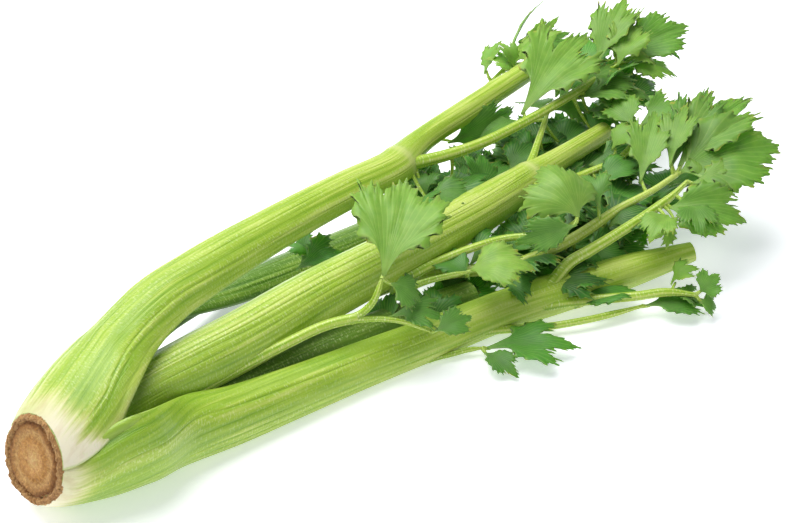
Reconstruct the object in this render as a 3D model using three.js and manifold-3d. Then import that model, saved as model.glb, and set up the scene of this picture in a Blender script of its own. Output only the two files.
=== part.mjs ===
// A head of celery lying on its side: the cut butt, the stalks that sheathe it, the thin stems that leave the
// stalks at their nodes, and the leaflets on those stems. Millimetres, +Z up, X along the head from the butt.

import * as THREE from 'three';
import { mergeVertices } from 'three/addons/utils/BufferGeometryUtils.js';
import Module from 'manifold-3d';

const wasm = await Module();
wasm.setup();

// Driving dimensions
const gap = 0.3;                // clearance between neighbouring pieces
const axisHeight = 28;          // height of the head's axis above the surface
const cutRadius = 19;           // radius of the cut face of the butt
const cutTilt = 20;             // degrees by which the cut face looks upwards
const coreRadius = 12.5;        // radius of the stem inside the ring of stalks
const coreLength = 24;          // how far that stem reaches into the head
const rimLength = 4;            // thickness of the bare rim behind the cut
const leafThickness = 1.4;
const stationsPerStep = 2;      // sections between two points of a stalk's route
const stemSides = 8;

// The ring of stalk bases round the core: distance along the head, outer radius, wall of the sheath
const sheathRings = [
  { x: 4, radius: 22, wall: 7 },
  { x: 13, radius: 26, wall: 9 },
  { x: 26, radius: 29, wall: 9 },
  { x: 42, radius: 29.5, wall: 8.5 },
];

// Each stalk of the outer ring starts as a sheath: turns says where its middle stands round the head at each
// ring and spans is half the angle it covers, both in degrees, clockwise from straight up, seen from the
// butt. lean is how far (Y, Z) the sheath has moved off the head's axis at the last ring. The route then
// gives the middle of the stalk, its width, the way its ribbed back faces, and open: 1 for a deep channel,
// 0 for the nearly round stem past the node.
const outerStalks = {
  stalk_back: {
    colour: 0xa6c84a,
    turns: [2, -1, -5, -10],
    spans: [72, 67, 62, 52],
    lean: [5, 3],
    route: [
      [64, 16, 55, 34, -6, 1],
      [88, 22, 57, 30.5, 4, 1],
      [115, 24.5, 57.5, 27.5, 12, 1],
      [164, 28, 56, 23.5, 18, 1],
      [217, 30.5, 53, 21, 20, 0.9],
      [250, 31, 51, 20, 20, 0.8],
      [268, 37, 50, 14, 20, 0],
      [319, 43, 50, 12.5, 20, 0],
      [366, 47.5, 50, 11.5, 20, 0],
    ],
  },
  stalk_front: {
    colour: 0xa0c445,
    turns: [130, 122, 109, 96],
    spans: [60, 64, 68, 71],
    lean: [-7, -1],
    route: [
      [66, -26, 17, 34, 82, 1],
      [90, -29.5, 14.5, 28.5, 72, 1],
      [120, -34.5, 13, 25.5, 68, 1],
      [160, -41.5, 11.5, 23, 66, 1],
      [200, -50, 10.5, 21.5, 66, 1],
      [240, -59, 10.5, 20.5, 64, 0.9],
      [268, -68, 10.5, 20.5, 62, 0.6],
      [285, -73.5, 10.5, 18.5, 60, 0.2],
      [305, -81, 11.5, 17, 60, 0],
      [336, -96, 14.5, 13, 60, 0],
    ],
  },
  stalk_far: {
    colour: 0x86b03c,
    turns: [240, 240, 243, 252],
    spans: [46, 50, 52, 45],
    lean: [5, -2],
    route: [
      [66, 30, 22.5, 31, 264, 1],
      [90, 40.5, 22, 27, 284, 1],
      [115, 45, 19.5, 24.5, 312, 1],
      [140, 47, 15, 24, 330, 1],
      [165, 49, 11.5, 24, 345, 1],
      [200, 48.5, 7.5, 23, 352, 1],
      [240, 44, 6, 22, 356, 1],
      [285, 40, 5.5, 20, 360, 0.9],
    ],
  },
};

// The stalks inside the ring start on the core; their whole course is a route.
const innerStalks = {
  stalk_middle: {
    colour: 0xa2c648,
    route: [
      [16, -3, 34, 16, 25, 0.6],
      [38, -4, 35, 22, 28, 0.8],
      [62, -4, 36, 26, 32, 1],
      [84, -5.5, 36, 28, 34, 1],
      [112, -7.5, 36, 28.5, 36, 1],
      [160, -8, 36, 28, 36, 1],
      [215, -11, 36, 25.5, 36, 0.95],
      [270, -13, 36, 23, 36, 0.8],
      [300, -12, 36, 19, 36, 0.4],
      [322, -11, 36, 13.5, 36, 0],
      [368, -10, 36, 10.5, 36, 0],
    ],
  },
  stalk_inner: {
    colour: 0x94ba40,
    route: [
      [18, 1, 20, 12, 150, 0.5],
      [38, -2, 19.5, 14, 110, 0.7],
      [62, -10, 19, 15, 65, 0.9],
      [92, -16, 17, 15, 42, 0.9],
      [118, -18.5, 15, 15.5, 30, 0.9],
      [150, -23, 13.5, 16, 25, 0.9],
      [190, -29.5, 11, 15.5, 22, 0.8],
      [236, -39, 9, 14, 20, 0.7],
    ],
  },
};

// Thin young stalks of the heart and the leaf stems: route through the middle, radius at each end
const stems = {
  heart_stalk_front: {
    route: [[27, -8, 27], [60, -12, 25], [99, -14, 27], [125, -19, 30], [151, -25, 32], [161, -32, 34]],
    radii: [3, 3.2],
  },
  heart_stalk_right: {
    route: [
      [27, 6, 27], [60, 7, 27], [100, 5, 24], [145, 1, 20], [185, -6, 18], [215, -14, 18], [228, -21, 18],
      [260, -46, 22], [282, -56, 28], [317, -61, 34], [338, -67, 39], [352, -69, 42],
    ],
    radii: [3.6, 2.6],
  },
  leaf_stem_heart: {
    route: [[162.5, -33, 35], [166, -36, 41], [169, -38, 49], [172, -37, 53]],
    radii: [2.2, 1.8],
  },
  leaf_stem_heart_low: {
    route: [[163, -35, 33.5], [169, -44, 35], [176, -52, 33], [181, -60, 30]],
    radii: [1.7, 1.3],
  },
  leaf_stem_middle_low: {
    route: [[196, -18, 25], [212, -20, 27], [230, -23, 28], [243, -28, 30], [258, -34, 31], [270, -48, 35],
      [277, -60, 42], [279, -64, 47]],
    radii: [3, 1.8],
  },
  leaf_stem_middle_short: {
    route: [[200, -24, 25], [207, -30, 29], [216, -36, 31], [225, -42, 32]],
    radii: [2, 1.6],
  },
  leaf_stem_back: {
    route: [
      [264, 26, 47], [275, 22, 47], [296, 17, 47], [324, 14, 48], [353, 12, 50], [386, 12, 52], [403, 13, 54],
    ],
    radii: [3.6, 2.6],
  },
  leaf_stem_back_far: {
    route: [[266, 44, 42], [288, 50, 38], [320, 55, 38], [347, 59, 42], [366, 61, 48]],
    radii: [3.2, 2],
  },
  leaf_stem_middle_far: {
    route: [[316, -3, 39], [328, 4, 40], [340, 11, 41], [352, 18, 42]],
    radii: [2.6, 1.8],
  },
  leaf_stem_middle: {
    route: [[316, -24, 33], [334, -29, 34], [353, -33, 36], [363, -32, 41], [367, -30, 46]],
    radii: [3.2, 2],
  },
  leaf_stem_middle_down: {
    route: [[352, -36, 34], [350, -40, 29], [348, -44, 20]],
    radii: [1.6, 1.2],
  },
  leaf_stem_front: {
    route: [[274, -63, 24], [286, -67, 26], [302, -70, 29], [325, -74, 34], [341, -76, 38], [352, -76, 41]],
    radii: [4, 2.6],
  },
  leaf_stem_front_low: {
    route: [[277, -82, 9], [290, -95, 11], [303, -106, 12.5], [311, -116, 12]],
    radii: [3.4, 2.6],
  },
  leaf_stem_floor_right: {
    route: [[243, -72, 4.5], [262, -85, 5.5], [280, -94, 6], [291, -99, 6.5]],
    radii: [2.6, 2],
  },
  leaf_stem_floor_left: {
    route: [[190, -50, 3], [200, -56, 3.5], [208, -60, 4], [213, -64, 4.5]],
    radii: [1.8, 1.5],
  },
};

// Leaflets: base and tip, full width, roll about the midrib in degrees, arch of the midrib and fold of the
// two halves (degrees, positive upwards).
const leaflets = {
  leaf_back_1: { base: [329, 17, 51], tip: [399, 32, 68], width: 46, roll: 14, arch: 7, fold: 12 },
  leaf_back_2: { base: [388, 16, 55], tip: [432, 31, 78], width: 26, roll: -2, arch: 5, fold: 14 },
  leaf_back_3: { base: [404, 16, 56], tip: [434, 29, 70], width: 28, roll: -20, arch: 5, fold: 20 },
  leaf_back_4: { base: [407, 13, 57], tip: [450, 1, 62], width: 30, roll: 30, arch: 6, fold: 14 },
  leaf_back_5: { base: [405, 10, 53], tip: [424, -14, 47], width: 18, roll: 10, arch: 5, fold: -14 },
  leaf_back_6: { base: [370, 9, 48], tip: [402, -14, 42], width: 30, roll: 18, arch: 5, fold: 10 },
  leaf_far_1: { base: [369, 62, 52], tip: [405, 68, 72], width: 10, roll: -55, arch: 3, fold: 10 },
  leaf_far_2: { base: [350, 63, 48], tip: [369, 68, 60], width: 14, roll: -30, arch: 2, fold: 12 },
  leaf_far_3: { base: [370, 58, 53], tip: [408, 60, 63], width: 12, roll: 40, arch: 4, fold: 10 },
  leaf_far_4: { base: [369, 61, 49], tip: [409, 52, 55], width: 20, roll: 14, arch: 4, fold: 16 },
  leaf_between_1: { base: [297, 40, 37], tip: [346, 37, 40], width: 24, roll: 70, arch: 4, fold: 8 },
  leaf_between_2: { base: [277, 16, 32], tip: [262, 40, 30], width: 26, roll: -24, arch: 3, fold: 8 },
  leaf_between_3: { base: [173, 24, 26], tip: [200, 14, 27], width: 26, roll: 12, arch: 4, fold: 18 },
  leaf_middle_far_1: { base: [354, 19, 42], tip: [380, 10, 34], width: 24, roll: 30, arch: 4, fold: 8 },
  leaf_middle_far_2: { base: [352, 21, 41], tip: [364, 42, 30], width: 22, roll: 0, arch: 4, fold: 8 },
  leaf_middle_1: { base: [367, -28, 47], tip: [377, -6, 50], width: 22, roll: -20, arch: 3, fold: 10 },
  leaf_middle_2: { base: [369, -31, 47], tip: [394, -40, 56], width: 22, roll: 20, arch: 4, fold: 12 },
  leaf_middle_3: { base: [347, -46, 18], tip: [327, -72, 9], width: 24, roll: 14, arch: 3, fold: 8 },
  leaf_middle_4: { base: [350, -22, 24], tip: [333, -42, 15], width: 22, roll: 14, arch: 3, fold: 8 },
  leaf_middle_low_1: { base: [280, -64, 48], tip: [287, -32, 60], width: 44, roll: -5, arch: 8, fold: -10 },
  leaf_middle_low_2: { base: [277, -66, 46], tip: [256, -44, 34], width: 18, roll: -50, arch: 4, fold: 10 },
  leaf_middle_short_1: { base: [226, -43, 33], tip: [247, -66, 33], width: 32, roll: 6, arch: 5, fold: 12 },
  leaf_heart_1: { base: [173, -37, 54], tip: [221, -3, 69], width: 50, roll: 9, arch: 8, fold: 12 },
  leaf_heart_2: { base: [175, -39, 50], tip: [187, -48, 38], width: 20, roll: 22, arch: 3, fold: -10 },
  leaf_heart_3: { base: [182, -61, 30], tip: [203, -66, 30], width: 15, roll: 34, arch: 3, fold: 10 },
  leaf_right_1: { base: [354, -70, 43], tip: [404, -96, 47], width: 50, roll: 20, arch: 7, fold: 12 },
  leaf_right_2: { base: [356, -67, 44], tip: [420, -64, 57], width: 40, roll: 4, arch: 7, fold: 14 },
  leaf_right_3: { base: [352, -65, 44], tip: [409, -45, 59], width: 28, roll: 6, arch: 5, fold: 16 },
  leaf_right_4: { base: [334, -60, 41], tip: [374, -37, 58], width: 24, roll: -2, arch: 4, fold: 14 },
  leaf_right_5: { base: [350, -66, 46], tip: [384, -50, 63], width: 22, roll: -18, arch: 4, fold: 14 },
  leaf_front_1: { base: [352, -79, 41], tip: [372, -99, 42], width: 24, roll: 20, arch: 4, fold: 10 },
  leaf_front_2: { base: [334, -79, 35], tip: [355, -113, 32], width: 32, roll: 34, arch: 6, fold: 12 },
  leaf_front_3: { base: [333, -86, 33], tip: [313, -82, 26], width: 20, roll: -30, arch: 3, fold: -10 },
  leaf_front_low_1: { base: [313, -117, 13], tip: [322, -122, 22], width: 16, roll: 40, arch: 3, fold: 10 },
  leaf_front_low_2: { base: [311, -119, 9], tip: [318, -124, 4], width: 14, roll: 30, arch: 2, fold: 10 },
  leaf_floor_right: { base: [292, -100, 6.5], tip: [320, -121, 3], width: 20, roll: 10, arch: 3, fold: 6 },
  leaf_floor_left: { base: [214, -65, 4], tip: [246, -97, 3], width: 34, roll: 6, arch: 5, fold: 8 },
  leaf_floor_low: { base: [211, -67, 4], tip: [211, -90, 2], width: 14, roll: 10, arch: 3, fold: 6 },
};

// One half of a three-lobed leaflet: share of the length, share of the half width
const leafOutline = [
  [0, 0.05], [0.22, 0.16], [0.38, 0.62], [0.55, 1], [0.74, 0.9], [0.66, 0.46], [0.84, 0.42], [1, 0],
];

const toRadians = THREE.MathUtils.degToRad;
const lerp = THREE.MathUtils.lerp;

// The way a stalk's back faces for a turn round the head
function facing(turn) {
  const angle = toRadians(turn);
  return new THREE.Vector3(0, -Math.sin(angle), Math.cos(angle));
}

// A closed geometry through rings of equal size; flat fans close both ends.
function skin(rings) {
  const size = rings[0].length;
  const positions = rings.flat().flatMap((point) => point.toArray());
  const index = [];
  for (let ring = 0; ring < rings.length - 1; ring += 1) {
    for (let i = 0; i < size; i += 1) {
      const a = ring * size + i;
      const b = ring * size + (i + 1) % size;
      index.push(a, b, a + size, b, b + size, a + size);
    }
  }
  for (const end of [0, rings.length - 1]) {
    const outline = rings[end];
    const middle = outline.reduce((sum, point) => sum.add(point), new THREE.Vector3()).divideScalar(size);
    const normal = ringNormal(outline, middle);
    const flat = outline.map((point) => flatten(point, middle, normal));
    for (const [a, b, c] of THREE.ShapeUtils.triangulateShape(flat, [])) {
      const face = [end * size + a, end * size + b, end * size + c];
      index.push(...(end === 0 ? face.reverse() : face));
    }
  }
  const geometry = new THREE.BufferGeometry();
  geometry.setAttribute('position', new THREE.Float32BufferAttribute(positions, 3));
  geometry.setIndex(index);
  return geometry;
}

// The normal of a closed ring, from the areas its edges sweep about the middle
function ringNormal(outline, middle) {
  const normal = new THREE.Vector3();
  outline.forEach((point, i) => {
    const next = outline[(i + 1) % outline.length];
    normal.add(point.clone().sub(middle).cross(next.clone().sub(middle)));
  });
  return normal.normalize();
}

// A ring's point in its own plane, so that its outline runs anticlockwise
function flatten(point, middle, normal) {
  const across = new THREE.Vector3(0.31, 0.47, 0.83).cross(normal).normalize();
  const along = normal.clone().cross(across);
  const offset = point.clone().sub(middle);
  return new THREE.Vector2(offset.dot(across), offset.dot(along));
}

function toSolid(geometry) {
  const merged = mergeVertices(geometry, 1e-4);
  const vertProperties = new Float32Array(merged.attributes.position.array);
  const triVerts = new Uint32Array(merged.index.array);
  return new wasm.Manifold(new wasm.Mesh({ numProp: 3, vertProperties, triVerts }));
}

function toGeometry(solid) {
  const mesh = solid.getMesh();
  const geometry = new THREE.BufferGeometry();
  geometry.setAttribute('position', new THREE.BufferAttribute(new Float32Array(mesh.vertProperties), 3));
  geometry.setIndex(new THREE.BufferAttribute(new Uint32Array(mesh.triVerts), 1));
  return geometry;
}

// A stalk's section: a ribbed back as an arc and a channel inside it. The station's centre is the centre of
// that arc. grow makes it larger all round, for the clearance that its neighbours keep.
function stalkSection(station, grow) {
  const { centre, radius, span, edge, channel } = station;
  const slant = station.along.clone().multiplyScalar(station.back.dot(station.along));
  const back = station.back.clone().sub(slant);
  back.normalize();
  const side = station.along.clone().cross(back);
  const at = (across, up) => centre.clone().addScaledVector(side, across).addScaledVector(back, up);
  const points = [];
  const backSteps = 10;
  for (let i = 0; i <= backSteps; i += 1) {
    const angle = lerp(span, -span, i / backSteps);
    points.push(at((radius + grow) * Math.sin(angle), (radius + grow) * Math.cos(angle)));
  }
  const edgeAcross = radius * Math.sin(span);
  const edgeUp = radius * Math.cos(span) - grow;
  const channelHalf = Math.max(edgeAcross - edge - grow, 0.4);
  points.push(at(-edgeAcross + edge * 0.35, edgeUp - edge * 0.35));
  const channelSteps = 5;
  for (let i = 0; i <= channelSteps; i += 1) {
    const angle = lerp(-90, 90, i / channelSteps);
    const across = channelHalf * Math.sin(toRadians(angle));
    points.push(at(across, edgeUp + Math.max(channel - grow, 0.2) * Math.cos(toRadians(angle))));
  }
  points.push(at(edgeAcross - edge * 0.35, edgeUp - edge * 0.35));
  return points.reverse();
}

// Stations of a sheath: round the head's axis, with the first ones tilted as the cut face is
function sheathStations(stalk) {
  const lastRing = sheathRings.at(-1).x;
  return sheathRings.map((ring, i) => {
    const tilt = toRadians(cutTilt) * (1 - ring.x / 50);
    const share = ring.x / lastRing;
    const span = toRadians(stalk.spans[i]);
    return {
      centre: new THREE.Vector3(ring.x, stalk.lean[0] * share, axisHeight + stalk.lean[1] * share),
      along: new THREE.Vector3(Math.cos(tilt), 0, -Math.sin(tilt)),
      back: facing(stalk.turns[i]),
      turn: stalk.turns[i],
      radius: ring.radius,
      span,
      edge: ring.wall * 0.5,
      channel: ring.radius * (1 - Math.cos(span)) - ring.wall,
    };
  });
}

// Stations of a free stalk: the route's point is the middle of the section
function routeStations(route) {
  return route.map(([x, y, z, width, turn, open]) => {
    const span = toRadians(106 - 26 * open);
    const radius = width / 2 / Math.sin(Math.min(span, Math.PI / 2));
    const depthMiddle = radius * (1 + Math.cos(span)) / 2;
    const back = facing(turn);
    return {
      centre: new THREE.Vector3(x, y, z).addScaledVector(back, -depthMiddle),
      back,
      turn,
      radius,
      span,
      edge: lerp(1.2, 3, open) * radius / 14,
      channel: radius * lerp(0.1, 0.36, open),
    };
  });
}

// A stalk as one solid through all its stations, with more sections between them
function stalkSolid(stalk, grow) {
  const start = stalk.turns ? sheathStations(stalk) : [];
  const stations = [...start, ...routeStations(stalk.route)];
  const centres = stations.map((station) => station.centre);
  const curve = new THREE.CatmullRomCurve3(centres, false, 'catmullrom', 0.5);
  const count = (stations.length - 1) * stationsPerStep;
  const rings = [];
  for (let i = 0; i <= count; i += 1) {
    const place = i / count;
    const step = Math.min(Math.floor(i / stationsPerStep), stations.length - 2);
    const share = i / stationsPerStep - step;
    const before = stations[step];
    const after = stations[step + 1];
    const along = curve.getTangent(place);
    if (before.along) {
      along.copy(before.along).lerp(after.along ?? curve.getTangent(place), share).normalize();
    }
    const centre = curve.getPoint(place);
    const end = (i === count) - (i === 0);
    rings.push(stalkSection({
      centre: centre.addScaledVector(along, end * grow),
      along,
      back: facing(lerp(before.turn, after.turn, share)),
      radius: lerp(before.radius, after.radius, share),
      span: lerp(before.span, after.span, share),
      edge: lerp(before.edge, after.edge, share),
      channel: lerp(before.channel, after.channel, share),
    }, grow));
  }
  return toSolid(skin(rings));
}

// A thin stem: a round tube with a radius that changes evenly from its start to its end
function stemSolid(stem, grow) {
  const points = stem.route.map((point) => new THREE.Vector3(...point));
  const curve = new THREE.CatmullRomCurve3(points);
  const count = Math.round(curve.getLength() / 11) + 2;
  const frames = curve.computeFrenetFrames(count, false);
  const rings = [];
  for (let i = 0; i <= count; i += 1) {
    const radius = lerp(stem.radii[0], stem.radii[1], i / count) + grow;
    const end = (i === count) - (i === 0);
    const centre = curve.getPointAt(i / count).addScaledVector(frames.tangents[i], end * grow);
    const ring = [];
    for (let side = 0; side < stemSides; side += 1) {
      const angle = side / stemSides * 2 * Math.PI;
      ring.push(centre.clone()
        .addScaledVector(frames.normals[i], radius * Math.cos(angle))
        .addScaledVector(frames.binormals[i], radius * Math.sin(angle)));
    }
    rings.push(ring);
  }
  return toSolid(skin(rings));
}

// A leaflet: a thin plate with three lobes, arched along its midrib and folded about it
function leafSolid(leaf, grow) {
  const base = new THREE.Vector3(...leaf.base);
  const reach = new THREE.Vector3(...leaf.tip).sub(base);
  const length = reach.length();
  const along = reach.clone().normalize();
  const up = new THREE.Vector3(0, 0, 1).addScaledVector(along, -along.z).normalize();
  const side = along.clone().cross(up);
  const normal = up.clone().applyAxisAngle(along, toRadians(leaf.roll));
  side.applyAxisAngle(along, toRadians(leaf.roll));
  const fold = Math.tan(toRadians(leaf.fold));
  const half = leafThickness / 2 + grow;

  const place = (share, across, offset) => {
    const lift = 4 * leaf.arch * share * (1 - share) + Math.abs(across) * fold + offset;
    return base.clone()
      .addScaledVector(along, share * length)
      .addScaledVector(side, across)
      .addScaledVector(normal, lift);
  };
  const halfWidth = leaf.width / 2;
  const right = leafOutline.map(([share, across]) => [share, across * halfWidth]);
  const left = right.slice(0, -1).reverse().map(([share, across]) => [share, -across]);
  const outline = [...right, ...left];
  const middle = 0.5;
  const larger = 1 + grow * 2.4 / length;
  const positions = [];
  for (const offset of [half, -half]) {
    for (const inward of [1, 0.5]) {
      for (const [share, across] of outline) {
        const grown = middle + (share - middle) * inward * larger;
        positions.push(...place(grown, across * inward * (1 + grow * 2.4 / halfWidth), offset).toArray());
      }
    }
    positions.push(...place(middle, 0, offset).toArray());
  }
  const size = outline.length;
  const sheet = 2 * size + 1;
  const index = [];
  for (let i = 0; i < size; i += 1) {
    const next = (i + 1) % size;
    for (const [start, flip] of [[0, false], [sheet, true]]) {
      const faces = [
        [start + i, start + next, start + size + i],
        [start + next, start + size + next, start + size + i],
        [start + size + i, start + size + next, start + 2 * size],
      ];
      faces.forEach((face) => index.push(...(flip ? face.reverse() : face)));
    }
    index.push(next, i, sheet + i, next, sheet + i, sheet + next);
  }
  const geometry = new THREE.BufferGeometry();
  geometry.setAttribute('position', new THREE.Float32BufferAttribute(positions, 3));
  geometry.setIndex(index);
  return toSolid(geometry);
}

// The butt: the cut face, the bare rim behind it and the short stem that the stalks grow round
function buttSolid(grow) {
  const profile = [
    [0, -grow],
    [cutRadius + grow, -grow],
    [cutRadius + 0.8 + grow, rimLength * 0.5],
    [cutRadius + 0.6 + grow, rimLength - 1 + grow],
    [coreRadius + grow, rimLength - 1 + grow],
    [coreRadius + grow, coreLength * 0.5],
    [coreRadius * 0.75 + grow, coreLength * 0.85],
    [0, coreLength + grow],
  ];
  const outline = profile.map(([radius, depth]) => new THREE.Vector2(radius, depth));
  const geometry = new THREE.LatheGeometry(outline, 28);
  geometry.deleteAttribute('normal');
  geometry.deleteAttribute('uv');
  geometry.rotateZ(-Math.PI / 2);
  geometry.rotateY(toRadians(cutTilt));
  geometry.translate(0, 0, axisHeight);
  return toSolid(geometry);
}

// Everything below the surface that the head lies on
function underSurface() {
  const geometry = new THREE.BoxGeometry(1000, 1000, 40);
  geometry.deleteAttribute('normal');
  geometry.deleteAttribute('uv');
  geometry.translate(200, 0, -20);
  return toSolid(geometry);
}

const colours = { butt: 0xd9c49a, heart: 0xa9cf55, stem: 0x9dc552, leaf: 0x6fa03a };
const pieces = [];

function touches(one, other) {
  const a = one.boundingBox();
  const b = other.boundingBox();
  return [0, 1, 2].every((k) => a.min[k] < b.max[k] && b.min[k] < a.max[k]);
}

// Cut a new piece clear of the surface and of the pieces before it, and keep its largest part.
function addPiece(name, colour, roughness, makeSolid) {
  let solid = makeSolid(0).subtract(surface);
  for (const piece of pieces) {
    if (touches(solid, piece.grown)) {
      solid = solid.subtract(piece.grown);
    }
  }
  const parts = solid.decompose().sort((a, b) => b.volume() - a.volume());
  const grown = makeSolid(gap).add(makeSolid(0));
  pieces.push({ name, colour, roughness, solid: parts[0], grown });
}

const surface = underSurface();
addPiece('butt', colours.butt, 0.9, buttSolid);
for (const [name, stalk] of Object.entries({ ...outerStalks, ...innerStalks })) {
  addPiece(name, stalk.colour, 0.4, (grow) => stalkSolid(stalk, grow));
}
for (const [name, stem] of Object.entries(stems)) {
  const colour = name.startsWith('heart') ? colours.heart : colours.stem;
  addPiece(name, colour, 0.45, (grow) => stemSolid(stem, grow));
}
for (const [name, leaf] of Object.entries(leaflets)) {
  addPiece(name, colours.leaf, 0.5, (grow) => leafSolid(leaf, grow));
}

const head = new THREE.Group();
for (const piece of pieces) {
  const material = new THREE.MeshStandardMaterial({
    color: piece.colour,
    roughness: piece.roughness,
    metalness: 0,
  });
  const mesh = new THREE.Mesh(toGeometry(piece.solid), material);
  mesh.name = piece.name;
  head.add(mesh);
}

// The origin is on the surface under the middle of the head's box.
const box = new THREE.Box3().setFromObject(head);
const middle = box.getCenter(new THREE.Vector3());
head.position.set(-middle.x, -middle.y, -box.min.z);

const celery = new THREE.Group();
celery.add(head);

export default celery;
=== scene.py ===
import math
from functools import partial

import bpy
import numpy as np
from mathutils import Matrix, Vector


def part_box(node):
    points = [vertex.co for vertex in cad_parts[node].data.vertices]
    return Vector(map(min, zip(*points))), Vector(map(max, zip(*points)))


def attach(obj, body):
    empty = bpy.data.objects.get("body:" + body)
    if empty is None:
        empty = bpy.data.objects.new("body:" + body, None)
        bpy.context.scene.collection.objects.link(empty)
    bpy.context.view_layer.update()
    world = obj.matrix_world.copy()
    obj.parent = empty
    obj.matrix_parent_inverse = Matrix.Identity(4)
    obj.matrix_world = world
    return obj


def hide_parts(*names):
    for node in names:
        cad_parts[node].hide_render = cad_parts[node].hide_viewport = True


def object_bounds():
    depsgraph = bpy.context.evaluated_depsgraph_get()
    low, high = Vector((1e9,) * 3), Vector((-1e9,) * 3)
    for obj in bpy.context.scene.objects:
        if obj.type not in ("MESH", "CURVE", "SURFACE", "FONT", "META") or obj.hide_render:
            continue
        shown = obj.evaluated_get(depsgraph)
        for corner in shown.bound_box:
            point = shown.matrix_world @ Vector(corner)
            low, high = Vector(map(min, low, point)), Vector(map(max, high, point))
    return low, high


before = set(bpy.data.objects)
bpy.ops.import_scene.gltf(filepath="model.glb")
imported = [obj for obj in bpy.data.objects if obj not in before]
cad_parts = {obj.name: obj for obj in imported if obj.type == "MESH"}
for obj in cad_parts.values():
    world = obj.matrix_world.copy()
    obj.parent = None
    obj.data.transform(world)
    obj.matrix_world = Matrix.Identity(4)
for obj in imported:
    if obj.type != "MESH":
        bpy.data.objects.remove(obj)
cadLow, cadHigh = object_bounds()

cutRadius = 19.0
cutTilt = 20.0
axisHeight = 28.0
buttLow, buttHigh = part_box("butt")
headOrigin = np.array([
    buttLow.x + 0.001 * cutRadius * math.sin(math.radians(cutTilt)),
    (buttLow.y + buttHigh.y) / 2,
    cadLow.z,
])
print("frame loaded, head starts at", [round(float(v), 4) for v in headOrigin])


def toRow(points):
    return np.asarray(points, float) * 0.001 + headOrigin


def toLinear(code):
    # sRGB hex to the linear colour that a socket wants
    parts = [int(code[i:i + 2], 16) / 255 for i in (1, 3, 5)]
    return [c / 12.92 if c < 0.04045 else ((c + 0.055) / 1.055) ** 2.4 for c in parts] + [1.0]


def addNode(tree, kind, inputs=None, stops=None, **settings):
    # one node: its settings, then each input as a link or a value, then the stops of a ramp; a stop's
    # value is a colour's code or a grey
    node = tree.nodes.new(kind)
    for name, value in settings.items():
        setattr(node, name, value)
    for name, value in (inputs or {}).items():
        if isinstance(value, bpy.types.Node):
            value = value.outputs[0]
        if isinstance(value, bpy.types.NodeSocket):
            tree.links.new(value, node.inputs[name])
        else:
            node.inputs[name].default_value = value
    if stops:
        ramp = node.color_ramp
        while len(ramp.elements) < len(stops):
            ramp.elements.new(0.5)
        for element, (place, code) in zip(ramp.elements, stops):
            element.position = place
            element.color = toLinear(code) if isinstance(code, str) else (code, code, code, 1)
    return node


def makeObject(name, points, faces, values=None, uv=None, material=None, sharpEdges=None):
    # a mesh from points in millimetres; values are numbers kept on each point, uv one pair for each point
    mesh = bpy.data.meshes.new(name)
    mesh.from_pydata(toRow(points).tolist(), [], [tuple(int(i) for i in face) for face in faces])
    mesh.update()
    for key, value in (values or {}).items():
        attribute = mesh.attributes.new(key, "FLOAT", "POINT")
        attribute.data.foreach_set("value", np.asarray(value, np.float32))
    if uv is not None:
        corner = np.zeros(len(mesh.loops), np.int32)
        mesh.loops.foreach_get("vertex_index", corner)
        layer = mesh.uv_layers.new(name="UVMap")
        layer.data.foreach_set("uv", np.asarray(uv, np.float32)[corner].ravel())
    mesh.polygons.foreach_set("use_smooth", np.ones(len(mesh.polygons), bool))
    if sharpEdges:
        marked = set(sharpEdges)
        edges = np.zeros(len(mesh.edges) * 2, np.int32)
        mesh.edges.foreach_get("vertices", edges)
        sharp = [tuple(sorted(pair)) in marked for pair in edges.reshape(-1, 2).tolist()]
        mesh.attributes.new("sharp_edge", "BOOLEAN", "EDGE").data.foreach_set("value", sharp)
    if material:
        mesh.materials.append(material)
    thing = bpy.data.objects.new(name, mesh)
    bpy.context.scene.collection.objects.link(thing)
    return thing


def growNodes(thing, tree, values):
    # run a node tree on an object and keep the result as a plain mesh
    modifier = thing.modifiers.new(tree.name, "NODES")
    modifier.node_group = tree
    names = {item.name: item.identifier for item in tree.interface.items_tree if item.in_out == "INPUT"}
    for name, value in values.items():
        modifier[names[name]] = value
    evaluated = thing.evaluated_get(bpy.context.evaluated_depsgraph_get())
    mesh = bpy.data.meshes.new_from_object(evaluated)
    thing.modifiers.remove(modifier)
    thing.data = mesh
    return thing


def newTree(name, sizes):
    # a node tree with a named input for each size, and addNode for it
    tree = bpy.data.node_groups.new(name, "GeometryNodeTree")
    tree.interface.new_socket("Geometry", in_out="INPUT", socket_type="NodeSocketGeometry")
    for label, kind in sizes.items():
        tree.interface.new_socket(label, in_out="INPUT", socket_type="NodeSocket" + kind)
    tree.interface.new_socket("Geometry", in_out="OUTPUT", socket_type="NodeSocketGeometry")
    add = partial(addNode, tree)
    return tree, add, add("NodeGroupInput").outputs


def settle(thing, slot, *nodes):
    # nothing reaches below the surface that the head lies on
    for vertex in thing.data.vertices:
        vertex.co.z = max(vertex.co.z, cadLow.z)
    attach(thing, "root")
    if nodes:
        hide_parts(*nodes)
    return thing


def camel(name):
    first, *rest = name.split("_")
    return first + "".join(word.capitalize() for word in rest)


def smooth(low, high, value):
    share = np.clip((np.asarray(value, float) - low) / (high - low), 0, 1)
    return share * share * (3 - 2 * share)


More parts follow.
